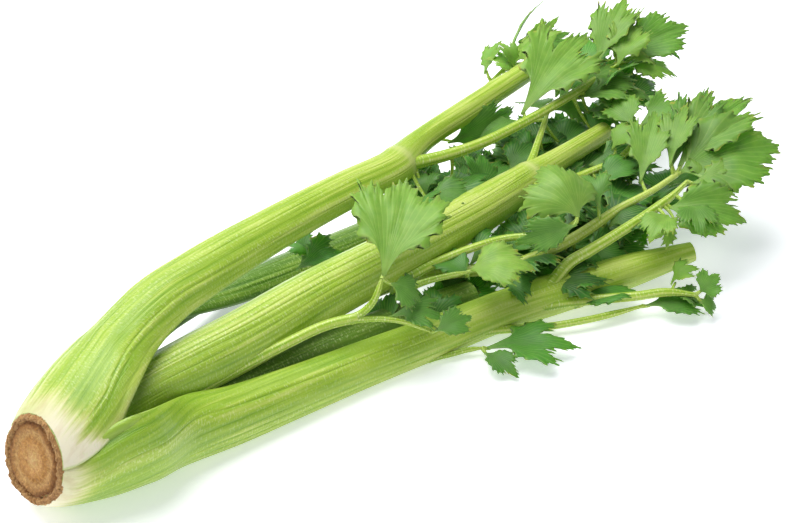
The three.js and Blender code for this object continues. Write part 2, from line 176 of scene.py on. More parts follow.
def curveThrough(places, values, at, even=False):
    # a smooth curve through values at places; even keeps it from swinging past them
    places = np.asarray(places, float)
    values = np.asarray(values, float)
    if values.ndim == 1:
        return curveThrough(places, values[:, None], at, even)[:, 0]
    step = np.diff(places)[:, None]
    slope = np.diff(values, axis=0) / step
    tangent = np.empty_like(values)
    tangent[0], tangent[-1] = slope[0], slope[-1]
    tangent[1:-1] = (slope[:-1] * step[1:] + slope[1:] * step[:-1]) / (step[1:] + step[:-1])
    if even:
        steady = slope[:-1] * slope[1:] > 0
        least = np.minimum(abs(slope[:-1]), abs(slope[1:]))
        tangent[1:-1] = np.where(steady, np.sign(tangent[1:-1]) * np.minimum(abs(tangent[1:-1]), 3 * least),
                                 0)
    index = np.clip(np.searchsorted(places, at, side="right") - 1, 0, len(places) - 2)
    h = step[index]
    t = (np.asarray(at, float) - places[index])[:, None] / h
    return ((2 * t**3 - 3 * t**2 + 1) * values[index] + (t**3 - 2 * t**2 + t) * h * tangent[index]
            + (3 * t**2 - 2 * t**3) * values[index + 1] + (t**3 - t**2) * h * tangent[index + 1])


def unit(vectors):
    return vectors / np.linalg.norm(vectors, axis=-1, keepdims=True)


def waves(seed, count, points, wavelength):
    # a sum of random plane waves, for a roughness that is the same in every run
    rng = np.random.default_rng(seed)
    total = np.zeros(len(points))
    for _ in range(count):
        way = unit(rng.normal(size=3)) * 2 * math.pi / (wavelength * rng.uniform(0.6, 1.6))
        total += np.sin(points @ way + rng.uniform(0, 6.3))
    return total / math.sqrt(count)


def ringQuads(index):
    # four corners of each face between neighbouring closed rings of points
    around = np.roll(index, -1, 1)
    return np.stack([index[:-1], around[:-1], around[1:], index[1:]], -1).reshape(-1, 4)


def stitch(one, other):
    # triangles between two open rows of points that run the same way
    faces, i, j = [], 0, 0
    while i < len(one) - 1 or j < len(other) - 1:
        iLater, jLater = (i + 1) * (len(other) - 1), (j + 1) * (len(one) - 1)
        if j == len(other) - 1 or (i < len(one) - 1 and iLater <= jLater):
            faces.append((one[i], one[i + 1], other[j]))
            i += 1
        else:
            faces.append((one[i], other[j + 1], other[j]))
            j += 1
    return faces


def newMaterial(name):
    # an empty material, and addNode for its tree
    material = bpy.data.materials.new(name)
    material.use_nodes = True
    material.node_tree.nodes.clear()
    return material, partial(addNode, material.node_tree)


def celerySkin(name, green):
    # Celery petiole: waxy epidermis over collenchyma strings. The eye sees pale shiny ribs, darker grooves,
    # white at the base where no light reached it, and fine cross ticks on the ribs, pale with a painted
    # highlight.
    material, add = newMaterial(name)
    uv = add("ShaderNodeUVMap", uv_map="UVMap")
    along, rib, inner, joint, bleach = (
        add("ShaderNodeAttribute", attribute_name=key).outputs["Fac"]
        for key in ("along", "rib", "inner", "joint", "bleach"))
    # UV is in millimetres: streaks 2 mm wide and 60 mm long
    stretched = add("ShaderNodeMapping", {"Vector": uv, "Scale": (0.5, 0.016, 1)})
    streak = add("ShaderNodeTexNoise", {"Vector": stretched, "Scale": 1.0, "Detail": 4.0, "Roughness": 0.6})
    finer = add("ShaderNodeMapping", {"Vector": uv, "Scale": (2.4, 0.03, 1)})
    fibre = add("ShaderNodeTexNoise", {"Vector": finer, "Scale": 1.0, "Detail": 3.0})
    # cross ticks: 1 mm apart along the stalk, a few millimetres long across it; real relief in the bump, a
    # painted highlight in the colour
    crossed = add("ShaderNodeMapping", {"Vector": uv, "Scale": (0.55, 1.1, 1)})
    tick = add("ShaderNodeTexNoise", {"Vector": crossed, "Scale": 1.0, "Detail": 1.5})
    glintMask = add("ShaderNodeMapRange", {"Value": tick, "From Min": 0.53, "From Max": 0.66})
    cloud = add("ShaderNodeTexNoise", {"Vector": add("ShaderNodeMapping", {
        "Vector": uv, "Scale": (0.08, 0.03, 1)}), "Scale": 1.0, "Detail": 2.0})
    # shade of green: crest and streak together
    streaky = add("ShaderNodeMath", {0: streak, 1: 0.9}, operation="MULTIPLY")
    ribby = add("ShaderNodeMath", {0: rib, 1: 0.3, 2: streaky}, operation="MULTIPLY_ADD")
    cloudy = add("ShaderNodeMath", {0: cloud, 1: 0.35, 2: ribby}, operation="MULTIPLY_ADD")
    upward = add("ShaderNodeMath", {0: along, 1: 0.0007, 2: cloudy},
                     operation="MULTIPLY_ADD")
    skin = add("ShaderNodeValToRGB", {"Fac": upward}, stops=[
        (0.4, green[0]), (0.64, green[1]), (0.86, green[2]), (1.0, green[3])])
    # white base: the edge of the white is drawn out along the ribs
    reach = add("ShaderNodeMath", {0: streak, 1: -18.0, 2: along}, operation="MULTIPLY_ADD")
    ridge = add("ShaderNodeMath", {0: rib, 1: -5.0, 2: reach}, operation="MULTIPLY_ADD")
    white = add("ShaderNodeMapRange", {"Value": ridge, "From Min": -7.0, "From Max": 12.0},
                    interpolation_type="SMOOTHSTEP")
    keepWhite = add("ShaderNodeMath", {0: white.outputs[0], 1: bleach},
                        operation="SUBTRACT", use_clamp=True)
    base = add("ShaderNodeValToRGB", {"Fac": keepWhite}, stops=[
        (0.0, "#FAF2D2"), (0.3, "#EDEAA2"), (0.6, "#CBD868"), (1.0, "#A6C545")])
    # faint tan stains where the white was bruised
    bruise = add("ShaderNodeTexNoise", {"Vector": add("ShaderNodeMapping", {
        "Vector": uv, "Scale": (0.16, 0.1, 1)}), "Scale": 1.0, "Detail": 3.0})
    bruised = add("ShaderNodeMapRange", {"Value": bruise, "From Min": 0.5, "From Max": 0.72,
                                                   "To Max": 0.4})
    stained = add("ShaderNodeMix", {"Factor": bruised.outputs[0], 6: base.outputs[0],
                                              7: toLinear("#CDAE72")}, data_type="RGBA")
    greened = add("ShaderNodeMix", {"Factor": keepWhite, 6: stained.outputs[2], 7: skin.outputs[0]},
                      data_type="RGBA")
    channel = add("ShaderNodeMix", {"Factor": add("ShaderNodeMath", {
        0: inner, 1: 0.6}, operation="MULTIPLY"), 6: greened.outputs[2], 7: toLinear(green[4])},
        data_type="RGBA")
    paler = add("ShaderNodeMix", {"Factor": joint, 6: channel.outputs[2],
                                            7: toLinear("#D3DE86")}, data_type="RGBA")
    # painted highlight: pale glints mixed into the colour on the ticks along the rib crests
    glintOnCrest = add("ShaderNodeMath", {0: glintMask.outputs[0], 1: rib}, operation="MULTIPLY")
    paintedGlint = add("ShaderNodeMath", {0: glintOnCrest, 1: 0.75}, operation="MULTIPLY")
    glinted = add("ShaderNodeMix", {"Factor": paintedGlint, 6: paler.outputs[2], 7: toLinear("#E2EFA8")},
                     data_type="RGBA")
    relief = add("ShaderNodeMath", {0: tick, 1: 0.5, 2: fibre}, operation="MULTIPLY_ADD")
    bump = add("ShaderNodeBump", {"Height": relief, "Strength": 0.6, "Distance": 0.0005})
    gloss = add("ShaderNodeMapRange", {"Value": fibre, "To Min": 0.2, "To Max": 0.42})
    body = add("ShaderNodeBsdfPrincipled", {
        "Base Color": glinted.outputs[2], "Roughness": gloss.outputs[0], "Normal": bump, "IOR": 1.42,
        "Coat Weight": 0.3, "Coat Roughness": 0.22, "Coat IOR": 1.4,
        "Subsurface Weight": 0.12, "Subsurface Radius": (0.9, 1.0, 0.35), "Subsurface Scale": 0.003})
    add("ShaderNodeOutputMaterial", {"Surface": body})
    return material


def celeryPith():
    # Cut pith and leaf-stalk ends: wet parenchyma, pale, with darker strings near the edge
    material, add = newMaterial("celeryCutPith")
    place = add("ShaderNodeTexCoord").outputs["Object"]
    grain = add("ShaderNodeTexNoise", {"Vector": place, "Scale": 700.0, "Detail": 3.0})
    colour = add("ShaderNodeValToRGB", {"Fac": grain}, stops=[
        (0.3, "#A3BC5C"), (0.55, "#C6D58A"), (0.8, "#DCE4B0")])
    bump = add("ShaderNodeBump", {"Height": grain, "Strength": 0.5, "Distance": 0.0004})
    body = add("ShaderNodeBsdfPrincipled", {
        "Base Color": colour.outputs[0], "Roughness": 0.45, "Normal": bump, "IOR": 1.4})
    add("ShaderNodeOutputMaterial", {"Surface": body})
    return material


def celeryCork():
    # Trimmed butt: dried, browned cut tissue with a corky rim. Rings show where the stalks were cut through.
    material, add = newMaterial("celeryButtCork")
    ring = add("ShaderNodeAttribute", attribute_name="ring")
    place = add("ShaderNodeTexCoord").outputs["Object"]
    # fibres about 0.7 mm, blotches about 4 mm
    fibre = add("ShaderNodeTexNoise", {"Vector": place, "Scale": 900.0, "Detail": 4.0, "Roughness": 0.7})
    blotch = add("ShaderNodeTexNoise", {"Vector": place, "Scale": 210.0, "Detail": 4.0, "Roughness": 0.65})
    shift = add("ShaderNodeMath", {0: blotch, 1: 0.3, 2: ring.outputs["Fac"]}, operation="MULTIPLY_ADD")
    moved = add("ShaderNodeMath", {0: shift, 1: 0.15}, operation="SUBTRACT")
    rings = add("ShaderNodeValToRGB", {"Fac": moved}, stops=[
        (0.0, "#E6C894"), (0.3, "#D3AA70"), (0.48, "#BE9258"), (0.6, "#D0AE78"), (0.74, "#AE8552"),
        (0.86, "#80572F"), (0.93, "#C8A878"), (1.0, "#B08A5E")])
    speck = add("ShaderNodeValToRGB", {"Fac": fibre}, stops=[
        (0.32, "#6E4A28"), (0.5, "#BFA06C"), (0.66, "#F3E2BC")])
    colour = add("ShaderNodeMix", {"Factor": 0.45, 6: rings.outputs[0], 7: speck.outputs[0]},
                     data_type="RGBA", blend_type="OVERLAY")
    relief = add("ShaderNodeMath", {0: blotch, 1: 0.8, 2: fibre}, operation="MULTIPLY_ADD")
    bump = add("ShaderNodeBump", {"Height": relief, "Strength": 0.8, "Distance": 0.0012})
    body = add("ShaderNodeBsdfPrincipled", {
        "Base Color": colour.outputs[2], "Roughness": 0.82, "Normal": bump, "IOR": 1.45})
    add("ShaderNodeOutputMaterial", {"Surface": body})
    return material


def celeryLeaf(name, dark, middle, bright):
    # Celery leaf blade: thin, satin, a little light comes through; pale veins, paler underside, dry brown at
    # some tooth tips.
    material, add = newMaterial(name)
    vein, rim, under, tone = (
        add("ShaderNodeAttribute", attribute_name=key).outputs["Fac"]
        for key in ("vein", "rim", "under", "tone"))
    uv = add("ShaderNodeUVMap", uv_map="UVMap")
    # UV is in millimetres: blotches about 6 mm, cells about 0.8 mm
    blotch = add("ShaderNodeTexNoise", {"Vector": uv, "Scale": 0.16, "Detail": 3.0})
    cells = add("ShaderNodeTexVoronoi", {"Vector": uv, "Scale": 1.1})
    shade = add("ShaderNodeMath", {0: blotch, 1: 0.45, 2: tone}, operation="MULTIPLY_ADD")
    blade = add("ShaderNodeValToRGB", {"Fac": shade}, stops=[
        (0.15, dark), (0.6, middle), (1.15 / 1.2, bright)])
    veined = add("ShaderNodeMix", {"Factor": add("ShaderNodeMath", {
        0: vein, 1: 0.55}, operation="MULTIPLY"), 6: blade.outputs[0], 7: toLinear("#B5D26E")},
        data_type="RGBA")
    below = add("ShaderNodeMix", {"Factor": add("ShaderNodeMath", {
        0: under, 1: 0.4}, operation="MULTIPLY"), 6: veined.outputs[2], 7: toLinear("#9CC468")},
        data_type="RGBA")
    dryness = add("ShaderNodeMath", {0: blotch, 1: rim}, operation="MULTIPLY")
    dryMask = add("ShaderNodeMapRange", {"Value": dryness, "From Min": 0.5, "From Max": 0.66,
                                                   "To Max": 0.7})
    dried = add("ShaderNodeMix", {"Factor": dryMask.outputs[0], 6: below.outputs[2],
                                            7: toLinear("#B7A84A")}, data_type="RGBA")
    relief = add("ShaderNodeMath", {0: cells.outputs["Distance"], 1: 0.4, 2: vein},
                     operation="MULTIPLY_ADD")
    bump = add("ShaderNodeBump", {"Height": relief, "Strength": 0.3, "Distance": 0.00012}, invert=True)
    body = add("ShaderNodeBsdfPrincipled", {
        "Base Color": dried.outputs[2], "Roughness": 0.46, "Normal": bump, "IOR": 1.4,
        "Subsurface Weight": 0.3, "Subsurface Radius": (0.6, 1.0, 0.25), "Subsurface Scale": 0.002})
    add("ShaderNodeOutputMaterial", {"Surface": body})
    return material


# the second set is a darker copy of the first: painted shade for the stalks that lie in the shadow of others
greens = {
    "open": ("#5C9122", "#8DB72B", "#AECD42", "#CADC6A", "#AAC850"),
    "deep": ("#2C5818", "#4C7621", "#688F2E", "#88A844", "#638732"),
}
skinOpen = celerySkin("celerySkinOpen", greens["open"])
skinPaintedShade = celerySkin("celerySkinPaintedShade", greens["deep"])
pith = celeryPith()
cork = celeryCork()
# lit, half-shaded and shaded copies of one leaf material: painted light and shade over each leaf's own tone
leafPaintedLight = celeryLeaf("celeryLeafPaintedLight", "#4F8230", "#7CA640", "#A0C154")
leafPaintedHalfShade = celeryLeaf("celeryLeafPaintedHalfShade", "#39692A", "#5D8D36", "#7CA846")
leafShade = celeryLeaf("celeryLeafShade", "#28561F", "#447D2B", "#5C9636")
print("materials made")


stalkLook = {
    "ribHeight": 0.62,      # mm from groove to crest
    "swell": 0.7,           # mm by which a joint stands out
    "ribWander": 0.18,      # how far a rib drifts sideways, in ribs
    "backPoints": 113,      # points across the ribbed back
    "channelPoints": 31,
    "capPoints": 5,         # points round each edge
    "step": 2.2,            # mm between sections
    "sheathEdge": 1.6,      # mm, thin margin of the sheath
    "tuckDepth": 3.2,       # mm by which a covered margin dips under its neighbour
}

# distance along the head, outer radius, wall
sheathRings = [(0.8, 20.0, 4.5), (4, 22.3, 7), (13, 26, 9), (26, 29, 9), (42, 29.5, 8.5)]

# turns, spans: where the sheath stands round the head and half the angle it covers at each ring; lean: how
# far it has moved off the axis at the last ring; tuckLow, tuckHigh: degrees of each margin that lie under a
# neighbour. route: x, y, z, width, turn, and open, from 0 for a round stem to 1 for a wide channel.
# joints: x of each node. ribs: how many across the back. bleach: how much of the white base is kept back
# from green; wing: the same on the high margin near the butt; litSide: how much greener the low side is.
stalks = {
    "stalk_back": {
        "turns": [2, 2, 1, -2, -6], "spans": [72, 72, 70, 66, 57], "lean": (5, 3), "ribs": 12,
        "route": [
            [64, 16, 55, 34, -6, 1], [88, 22, 57, 30.5, 4, 1], [115, 24.5, 57.5, 27.5, 12, 1],
            [164, 28, 56, 23.5, 18, 1], [217, 30.5, 53, 21, 20, 0.9], [250, 31, 51, 20, 20, 0.8],
            [268, 37, 50, 14, 20, 0], [319, 43, 50, 12.5, 20, 0], [366, 47.5, 50, 11.5, 20, 0],
        ],
        "joints": [254], "skin": skinOpen, "bleach": 0.0, "wing": 0.85, "litSide": 0.35, "seed": 3,
    },
    "stalk_front": {
        "turns": [130, 130, 122, 110, 103], "spans": [60, 60, 64, 60, 55], "lean": (-7, 0), "ribs": 11,
        "tuckLow": [4, 4, 10, 9, 1],
        "route": [
            [66, -26, 17, 34, 82, 1], [90, -29.5, 14.5, 28.5, 72, 1], [120, -34.5, 13, 25.5, 68, 1],
            [160, -41.5, 11.5, 23, 66, 1], [200, -50, 10.5, 21.5, 66, 1], [240, -59, 10.5, 20.5, 64, 0.9],
            [268, -68, 10.5, 20.5, 62, 0.6], [285, -73.5, 10.5, 18.5, 60, 0.2], [305, -81, 11.5, 17, 60, 0],
            [336, -96, 15.5, 10, 60, 0],
        ],
        "joints": [274], "skin": skinOpen, "bleach": 0.0, "litSide": 0.12, "seed": 8,
    },
    "stalk_far": {
        "turns": [240, 240, 240, 243, 252], "spans": [49, 49, 53, 56, 49], "lean": (5, -2), "ribs": 9,
        "tuckHigh": [4, 4, 6, 8, 6],
        "route": [
            [66, 30, 22.5, 31, 264, 1], [90, 40.5, 22, 27, 284, 1], [115, 45, 19.5, 24.5, 312, 1],
            [140, 47, 15, 24, 330, 1], [165, 49, 11.5, 24, 345, 1], [200, 48.5, 7.5, 23, 352, 1],
            [240, 44, 6, 22, 356, 1], [285, 40, 5.5, 20, 360, 0.9],
        ],
        # the far stalk takes the darker copy of the skin: painted shade
        "joints": [], "skin": skinPaintedShade, "bleach": 0.0, "seed": 12,
    },
    "stalk_middle": {
        "ribs": 11,
        "route": [
            [16, -3, 34, 16, 25, 0.6], [38, -4, 35, 22, 28, 0.8], [62, -4, 36, 26, 32, 1],
            [84, -5.5, 36, 28, 34, 1], [112, -7.5, 36, 28.5, 36, 1], [160, -8, 36, 28, 36, 1],
            [215, -11, 36, 25.5, 36, 0.95], [270, -13, 36, 23, 36, 0.8], [300, -12, 36, 19, 36, 0.4],
            [322, -11, 36, 13.5, 36, 0], [368, -10, 36, 10.5, 36, 0],
        ],
        "joints": [306], "skin": skinOpen, "bleach": 0.12, "seed": 5,
    },
    "stalk_inner": {
        "ribs": 8,
        "route": [
            [18, 1, 20, 12, 150, 0.5], [38, -2, 19.5, 14, 110, 0.7], [62, -8, 20, 16, 65, 0.9],
            [92, -13, 18.5, 18, 42, 0.9], [118, -16, 16.5, 19.5, 30, 0.9], [150, -20, 15, 20.5, 25, 0.9],
            [190, -27, 13, 20, 22, 0.8], [236, -36, 11, 17, 20, 0.7],
        ],
        # the inner stalk takes the darker copy of the skin: painted shade
        "joints": [], "skin": skinPaintedShade, "bleach": 0.1, "seed": 21,
    },
}


def facing(turn):
    angle = np.radians(turn)
    return np.stack([np.zeros_like(angle), -np.sin(angle), np.cos(angle)], -1)


def stalkStations(stalk):
    # one row for each known section: centre of the back's arc, way along, turn, radius, span, edge, channel,
    # and the degrees tucked under a neighbour on each side
    rows = []
    for i, (x, radius, wall) in enumerate(sheathRings if "turns" in stalk else []):
        share = (x / sheathRings[-1][0]) ** 2
        tilt = math.radians(cutTilt) * (1 - x / 50)
        span = math.radians(stalk["spans"][i])
        rows.append({
            "centre": [x, stalk["lean"][0] * share, axisHeight + stalk["lean"][1] * share],
            "along": [math.cos(tilt), 0, -math.sin(tilt)], "turn": stalk["turns"][i], "radius": radius,
            "span": span, "edge": stalkLook["sheathEdge"], "channel": radius * (1 - math.cos(span)) - wall,
            "low": stalk.get("tuckLow", [0] * 5)[i], "high": stalk.get("tuckHigh", [0] * 5)[i],
        })
    for x, y, z, width, turn, isOpen in stalk["route"]:
        span = math.radians(106 - 26 * isOpen)
        radius = width / 2 / math.sin(min(span, math.pi / 2))
        back = facing(turn)
        rows.append({
            "centre": (np.array([x, y, z]) - back * radius * (1 + math.cos(span)) / 2).tolist(),
            "along": None, "turn": turn, "radius": radius, "span": span,
            "edge": (1.2 + 1.8 * isOpen) * radius / 14, "channel": radius * (0.1 + 0.26 * isOpen),
            "low": 0, "high": 0,
        })
    return rows


def stalkSection(row, along):
    # one closed section: the back from its high side to its low side, an edge, the channel, an edge; and the
    # distance across the skin of each of its points
    q = np.linspace(1, -1, stalkLook["backPoints"])
    angle = row["span"] * q
    radius = np.full(len(q), float(row["radius"]))
    for tuck, fromEdge in ((row["high"], 1 - q), (row["low"], 1 + q)):
        depth = stalkLook["tuckDepth"] * min(1, tuck / 6)
        radius -= depth * (1 - smooth(0, 1, (fromEdge * math.degrees(row["span"]) - tuck + 3) / 12))
    backAcross, backUp = radius * np.sin(angle), radius * np.cos(angle)
    edgeAcross, edgeUp = row["radius"] * math.sin(row["span"]), row["radius"] * math.cos(row["span"])
    t = np.linspace(-math.pi / 2, math.pi / 2, stalkLook["channelPoints"])
    channelAcross = max(edgeAcross - row["edge"], 0.4) * np.sin(t)
    channelUp = np.minimum(edgeUp + max(row["channel"], 0.2) * np.cos(t), row["radius"] - 2.2)
    k = np.linspace(0, 1, stalkLook["capPoints"] + 2)[1:-1]
    bulge = row["edge"] * 0.45 * np.sin(math.pi * k)
    lean, drop = bulge * math.cos(row["span"]) * 0.6, bulge * math.sin(row["span"])
    lowAcross = backAcross[-1] * (1 - k) + channelAcross[0] * k - lean
    lowUp = backUp[-1] * (1 - k) + channelUp[0] * k - drop
    highAcross = channelAcross[-1] * (1 - k) + backAcross[0] * k + lean
    highUp = channelUp[-1] * (1 - k) + backUp[0] * k - drop
    across = np.concatenate([backAcross, lowAcross, channelAcross, highAcross])
    up = np.concatenate([backUp, lowUp, channelUp, highUp])
    arc = row["radius"] * np.concatenate([angle, np.full(len(k), angle[-1]), np.sin(t),
                                          np.full(len(k), angle[0])])
    back = facing(row["turn"])
    back = unit(back - along * np.dot(back, along))
    side = np.cross(along, back)
    centre = np.array(row["centre"], float)
    return centre + side * across[:, None] + back * up[:, None], arc


def endFaces(ring):
    # closes a section that is a band between its back and its channel
    nBack, nCap, nChannel = stalkLook["backPoints"], stalkLook["capPoints"], stalkLook["channelPoints"]
    lowCap = ring[nBack:nBack + nCap]
    channel = ring[nBack + nCap:nBack + nCap + nChannel]
    highCap = ring[nBack + nCap + nChannel:]
    inside = np.concatenate([ring[:1], highCap[::-1], channel[::-1], lowCap[::-1], ring[nBack - 1:nBack]])
    return [face for face in stitch(list(ring[:nBack]), list(inside)) if len(set(face)) == 3]


def stalkSurface(name, stalk):
    rows = stalkStations(stalk)
    centres = np.array([row["centre"] for row in rows])
    turns = np.array([row["turn"] for row in rows], float)
    radii = np.array([row["radius"] for row in rows])
    heart = centres + facing(turns) * radii[:, None] * 0.6
    places = np.concatenate([[0], np.cumsum(np.linalg.norm(np.diff(heart, axis=0), axis=1))])
    tangents = unit(curveThrough(places, centres, places + 0.01) - curveThrough(places, centres,
                                                                                places - 0.01))
    sections, arcs = [], []
    for row, tangent in zip(rows, tangents):
        section, arc = stalkSection(row, tangent if row["along"] is None else np.array(row["along"]))
        sections.append(section.ravel())
        arcs.append(arc)
    count = int(places[-1] / stalkLook["step"]) + 1
    at = np.linspace(0, places[-1], count)
    points = curveThrough(places, sections, at).reshape(count, -1, 3)
    arc = curveThrough(places, arcs, at)
    radius = curveThrough(places, radii, at, True)
    size = points.shape[1]
    q = np.linspace(1, -1, stalkLook["backPoints"])
    swell = np.zeros(count)
    for joint in stalk["joints"]:
        swell += np.exp(-((points[:, len(q) // 2, 0] - joint) / 3.2) ** 2)
    # ribs: uneven widths and heights, drifting a little along the stalk
    rng = np.random.default_rng(stalk["seed"])
    widths = rng.uniform(0.4, 1.0, stalk["ribs"]) ** 1.6
    bounds = np.concatenate([[0], np.cumsum(widths)]) / widths.sum()
    heights = rng.uniform(0.12, 1.0, stalk["ribs"] + 1) ** 1.3
    order = np.arange(stalk["ribs"] + 1)
    phase = np.interp((q + 1) / 2, bounds, order)
    drift = stalkLook["ribWander"] * np.sin(at[:, None] / 37 + phase * 1.7 + stalk["seed"])
    ribPhase, ribFade, inner, bleach = (np.zeros((count, size)) for _ in range(4))
    ribPhase[:, :len(q)] = phase + drift
    shareAlong = (radius / 15).clip(0.5, 0.95) * smooth(0, 14, at) * (1 - 0.55 * swell.clip(0, 1))
    ribFade[:, :len(q)] = smooth(0, 0.05, 1 - abs(q)) * np.interp(phase, order, heights) * shareAlong[:, None]
    inner[:, len(q):] = 1
    inner[:, :len(q)] = 1 - smooth(0, 0.05, 1 - abs(q))
    bleach[:] = stalk["bleach"]
    bleach[:, :len(q)] += stalk.get("wing", 0) * smooth(0.6, 1, q) * np.exp(-(at / 62) ** 2)[:, None]
    bleach[:, :len(q)] -= stalk.get("litSide", 0) * (1 - smooth(-0.9, 0.4, q))
    index = np.arange(count * size).reshape(count, size)
    faces = ringQuads(index)[:, [0, 3, 2, 1]].tolist()
    ends = [tuple(face) for face in endFaces(index[0])] + [tuple(face[::-1]) for face in endFaces(index[-1])]
    sharp = [tuple(sorted((int(ring[i]), int(ring[(i + 1) % size])))) for ring in (index[0], index[-1])
             for i in range(size)]
    thing = makeObject(
        camel(name), points.reshape(-1, 3), faces + ends,
        {"along": np.repeat(at, size), "ribPhase": ribPhase.ravel(), "ribFade": ribFade.ravel(),
         "inner": inner.ravel(), "bleach": bleach.ravel(), "joint": np.repeat(0.85 * swell.clip(0, 1) ** 2,
                                                                              size),
         "swell": np.repeat(stalkLook["swell"] * swell, size)},
        np.stack([arc.ravel(), np.repeat(at, size)], -1), stalk["skin"], sharp)
    cut = np.zeros(len(thing.data.polygons), bool)
    cut[-len(ends):] = True
    thing.data.attributes.new("cutFace", "BOOLEAN", "FACE").data.foreach_set("value", cut)
    return thing


def ribTree():
    # raises ribs along the back of a stalk, and gives skin and cut ends their materials
    tree, add, given = newTree("raiseRibs", {"Rib Height": "Float", "Skin": "Material", "Cut": "Material"})
    phase = add("GeometryNodeInputNamedAttribute", {"Name": "ribPhase"})
    fade = add("GeometryNodeInputNamedAttribute", {"Name": "ribFade"})
    part = add("ShaderNodeMath", {0: phase}, operation="FRACT")
    doubled = add("ShaderNodeMath", {0: part, 1: 2.0, 2: -1.0}, operation="MULTIPLY_ADD")
    folded = add("ShaderNodeMath", {0: doubled}, operation="ABSOLUTE")
    rounded = add("ShaderNodeMath", {0: folded, 1: 4.5}, operation="POWER")
    crest = add("ShaderNodeMath", {0: 1.0, 1: rounded}, operation="SUBTRACT")
    height = add("ShaderNodeMath", {0: crest, 1: fade}, operation="MULTIPLY")
    swell = add("GeometryNodeInputNamedAttribute", {"Name": "swell"})
    total = add("ShaderNodeMath", {0: height, 1: given["Rib Height"], 2: swell}, operation="MULTIPLY_ADD")
    metres = add("ShaderNodeMath", {0: total, 1: 0.001}, operation="MULTIPLY")
    kept = add("GeometryNodeStoreNamedAttribute", {
        "Geometry": given["Geometry"], "Name": "rib", "Value": height}, data_type="FLOAT", domain="POINT")
    offset = add("ShaderNodeVectorMath", {0: add("GeometryNodeInputNormal"), "Scale": metres},
                     operation="SCALE")
    raised = add("GeometryNodeSetPosition", {"Geometry": kept, "Offset": offset})
    isCut = add("GeometryNodeInputNamedAttribute", {"Name": "cutFace"}, data_type="BOOLEAN")
    real = add("GeometryNodeRealizeInstances", {"Geometry": raised})
    skinned = add("GeometryNodeSetMaterial", {"Geometry": real, "Material": given["Skin"]})
    ended = add("GeometryNodeSetMaterial", {
        "Geometry": skinned, "Selection": isCut, "Material": given["Cut"]})
    add("NodeGroupOutput", {"Geometry": ended})
    return tree


ribNodes = ribTree()
for name, stalk in stalks.items():
    thing = stalkSurface(name, stalk)
    growNodes(thing, ribNodes, {"Rib Height": stalkLook["ribHeight"], "Skin": stalk["skin"], "Cut": pith})
    settle(thing, "stalk", name)
print("stalks made")


buttLook = {
    "rings": 26, "sides": 120, "rimWidth": 2.2, "rimRise": 0.7, "grain": 0.5,
    "lumps": 260, "lumpSize": 0.8, "seed": 4,
}


def buttSurface():
    sides, count = buttLook["sides"], buttLook["rings"]
    tilt = math.radians(cutTilt)
    axis = np.array([math.cos(tilt), 0, -math.sin(tilt)])
    upward = np.array([math.sin(tilt), 0, math.cos(tilt)])
    sideways = np.array([0, 1.0, 0])
    profile = [(cutRadius * share, 0.0) for share in np.linspace(0.03, 0.97, count)]
    profile += [(cutRadius + 0.3, 0.25), (cutRadius + 0.9, 1.1), (cutRadius + 0.8, 2.2), (cutRadius, 3.2),
                (12.5, 3.4), (12.5, 12), (9.4, 20.4), (2, 24)]
    angle = np.linspace(0, 2 * math.pi, sides, endpoint=False)
    rows, ringValues, rimValues = [], [], []
    for radius, depth in profile:
        wobble = 1 + 0.018 * np.sin(3 * angle + 0.8) + 0.012 * np.sin(7 * angle + 2)
        place = upward * np.cos(angle)[:, None] + sideways * np.sin(angle)[:, None]
        place = place * (radius * wobble)[:, None]
        rows.append(place + axis * depth + np.array([0, 0, axisHeight]))
        ringValues.append(np.full(sides, min(radius / cutRadius, 1)))
        rimValues.append(np.full(sides,
                                 1.0 if radius > cutRadius - buttLook["rimWidth"] and depth < 3 else 0.0))
    points = np.concatenate(rows)
    ringValue = np.concatenate(ringValues)
    front = np.repeat([depth < 0.1 for _, depth in profile], sides)
    rough = waves(buttLook["seed"], 24, points, 3.0) + 0.6 * waves(buttLook["seed"] + 1, 24, points, 1.3)
    rise = buttLook["rimRise"] * np.exp(-((ringValue - 0.95) / 0.04) ** 2)
    rise += 0.35 * np.cos(ringValue * 17) * (ringValue < 0.9)
    rise -= 0.5 * np.exp(-((ringValue - 0.86) / 0.035) ** 2)
    points -= axis * (front * (rise + buttLook["grain"] * 0.5 * rough))[:, None]
    middle = np.array([[0, 0, axisHeight]])
    tip = middle + axis * 24.2
    total = len(points)
    points = np.concatenate([points, middle, tip])
    index = np.arange(total).reshape(-1, sides)
    faces = ringQuads(index).tolist()
    for i in range(sides):
        nextOne = (i + 1) % sides
        faces.append((total, index[0, nextOne], index[0, i]))
        faces.append((total + 1, index[-1, i], index[-1, nextOne]))
    return makeObject("butt_cork", points, faces, {
        "ring": np.append(ringValue, [0, 1]), "rimZone": np.append(np.concatenate(rimValues), [0, 0])},
        material=cork)


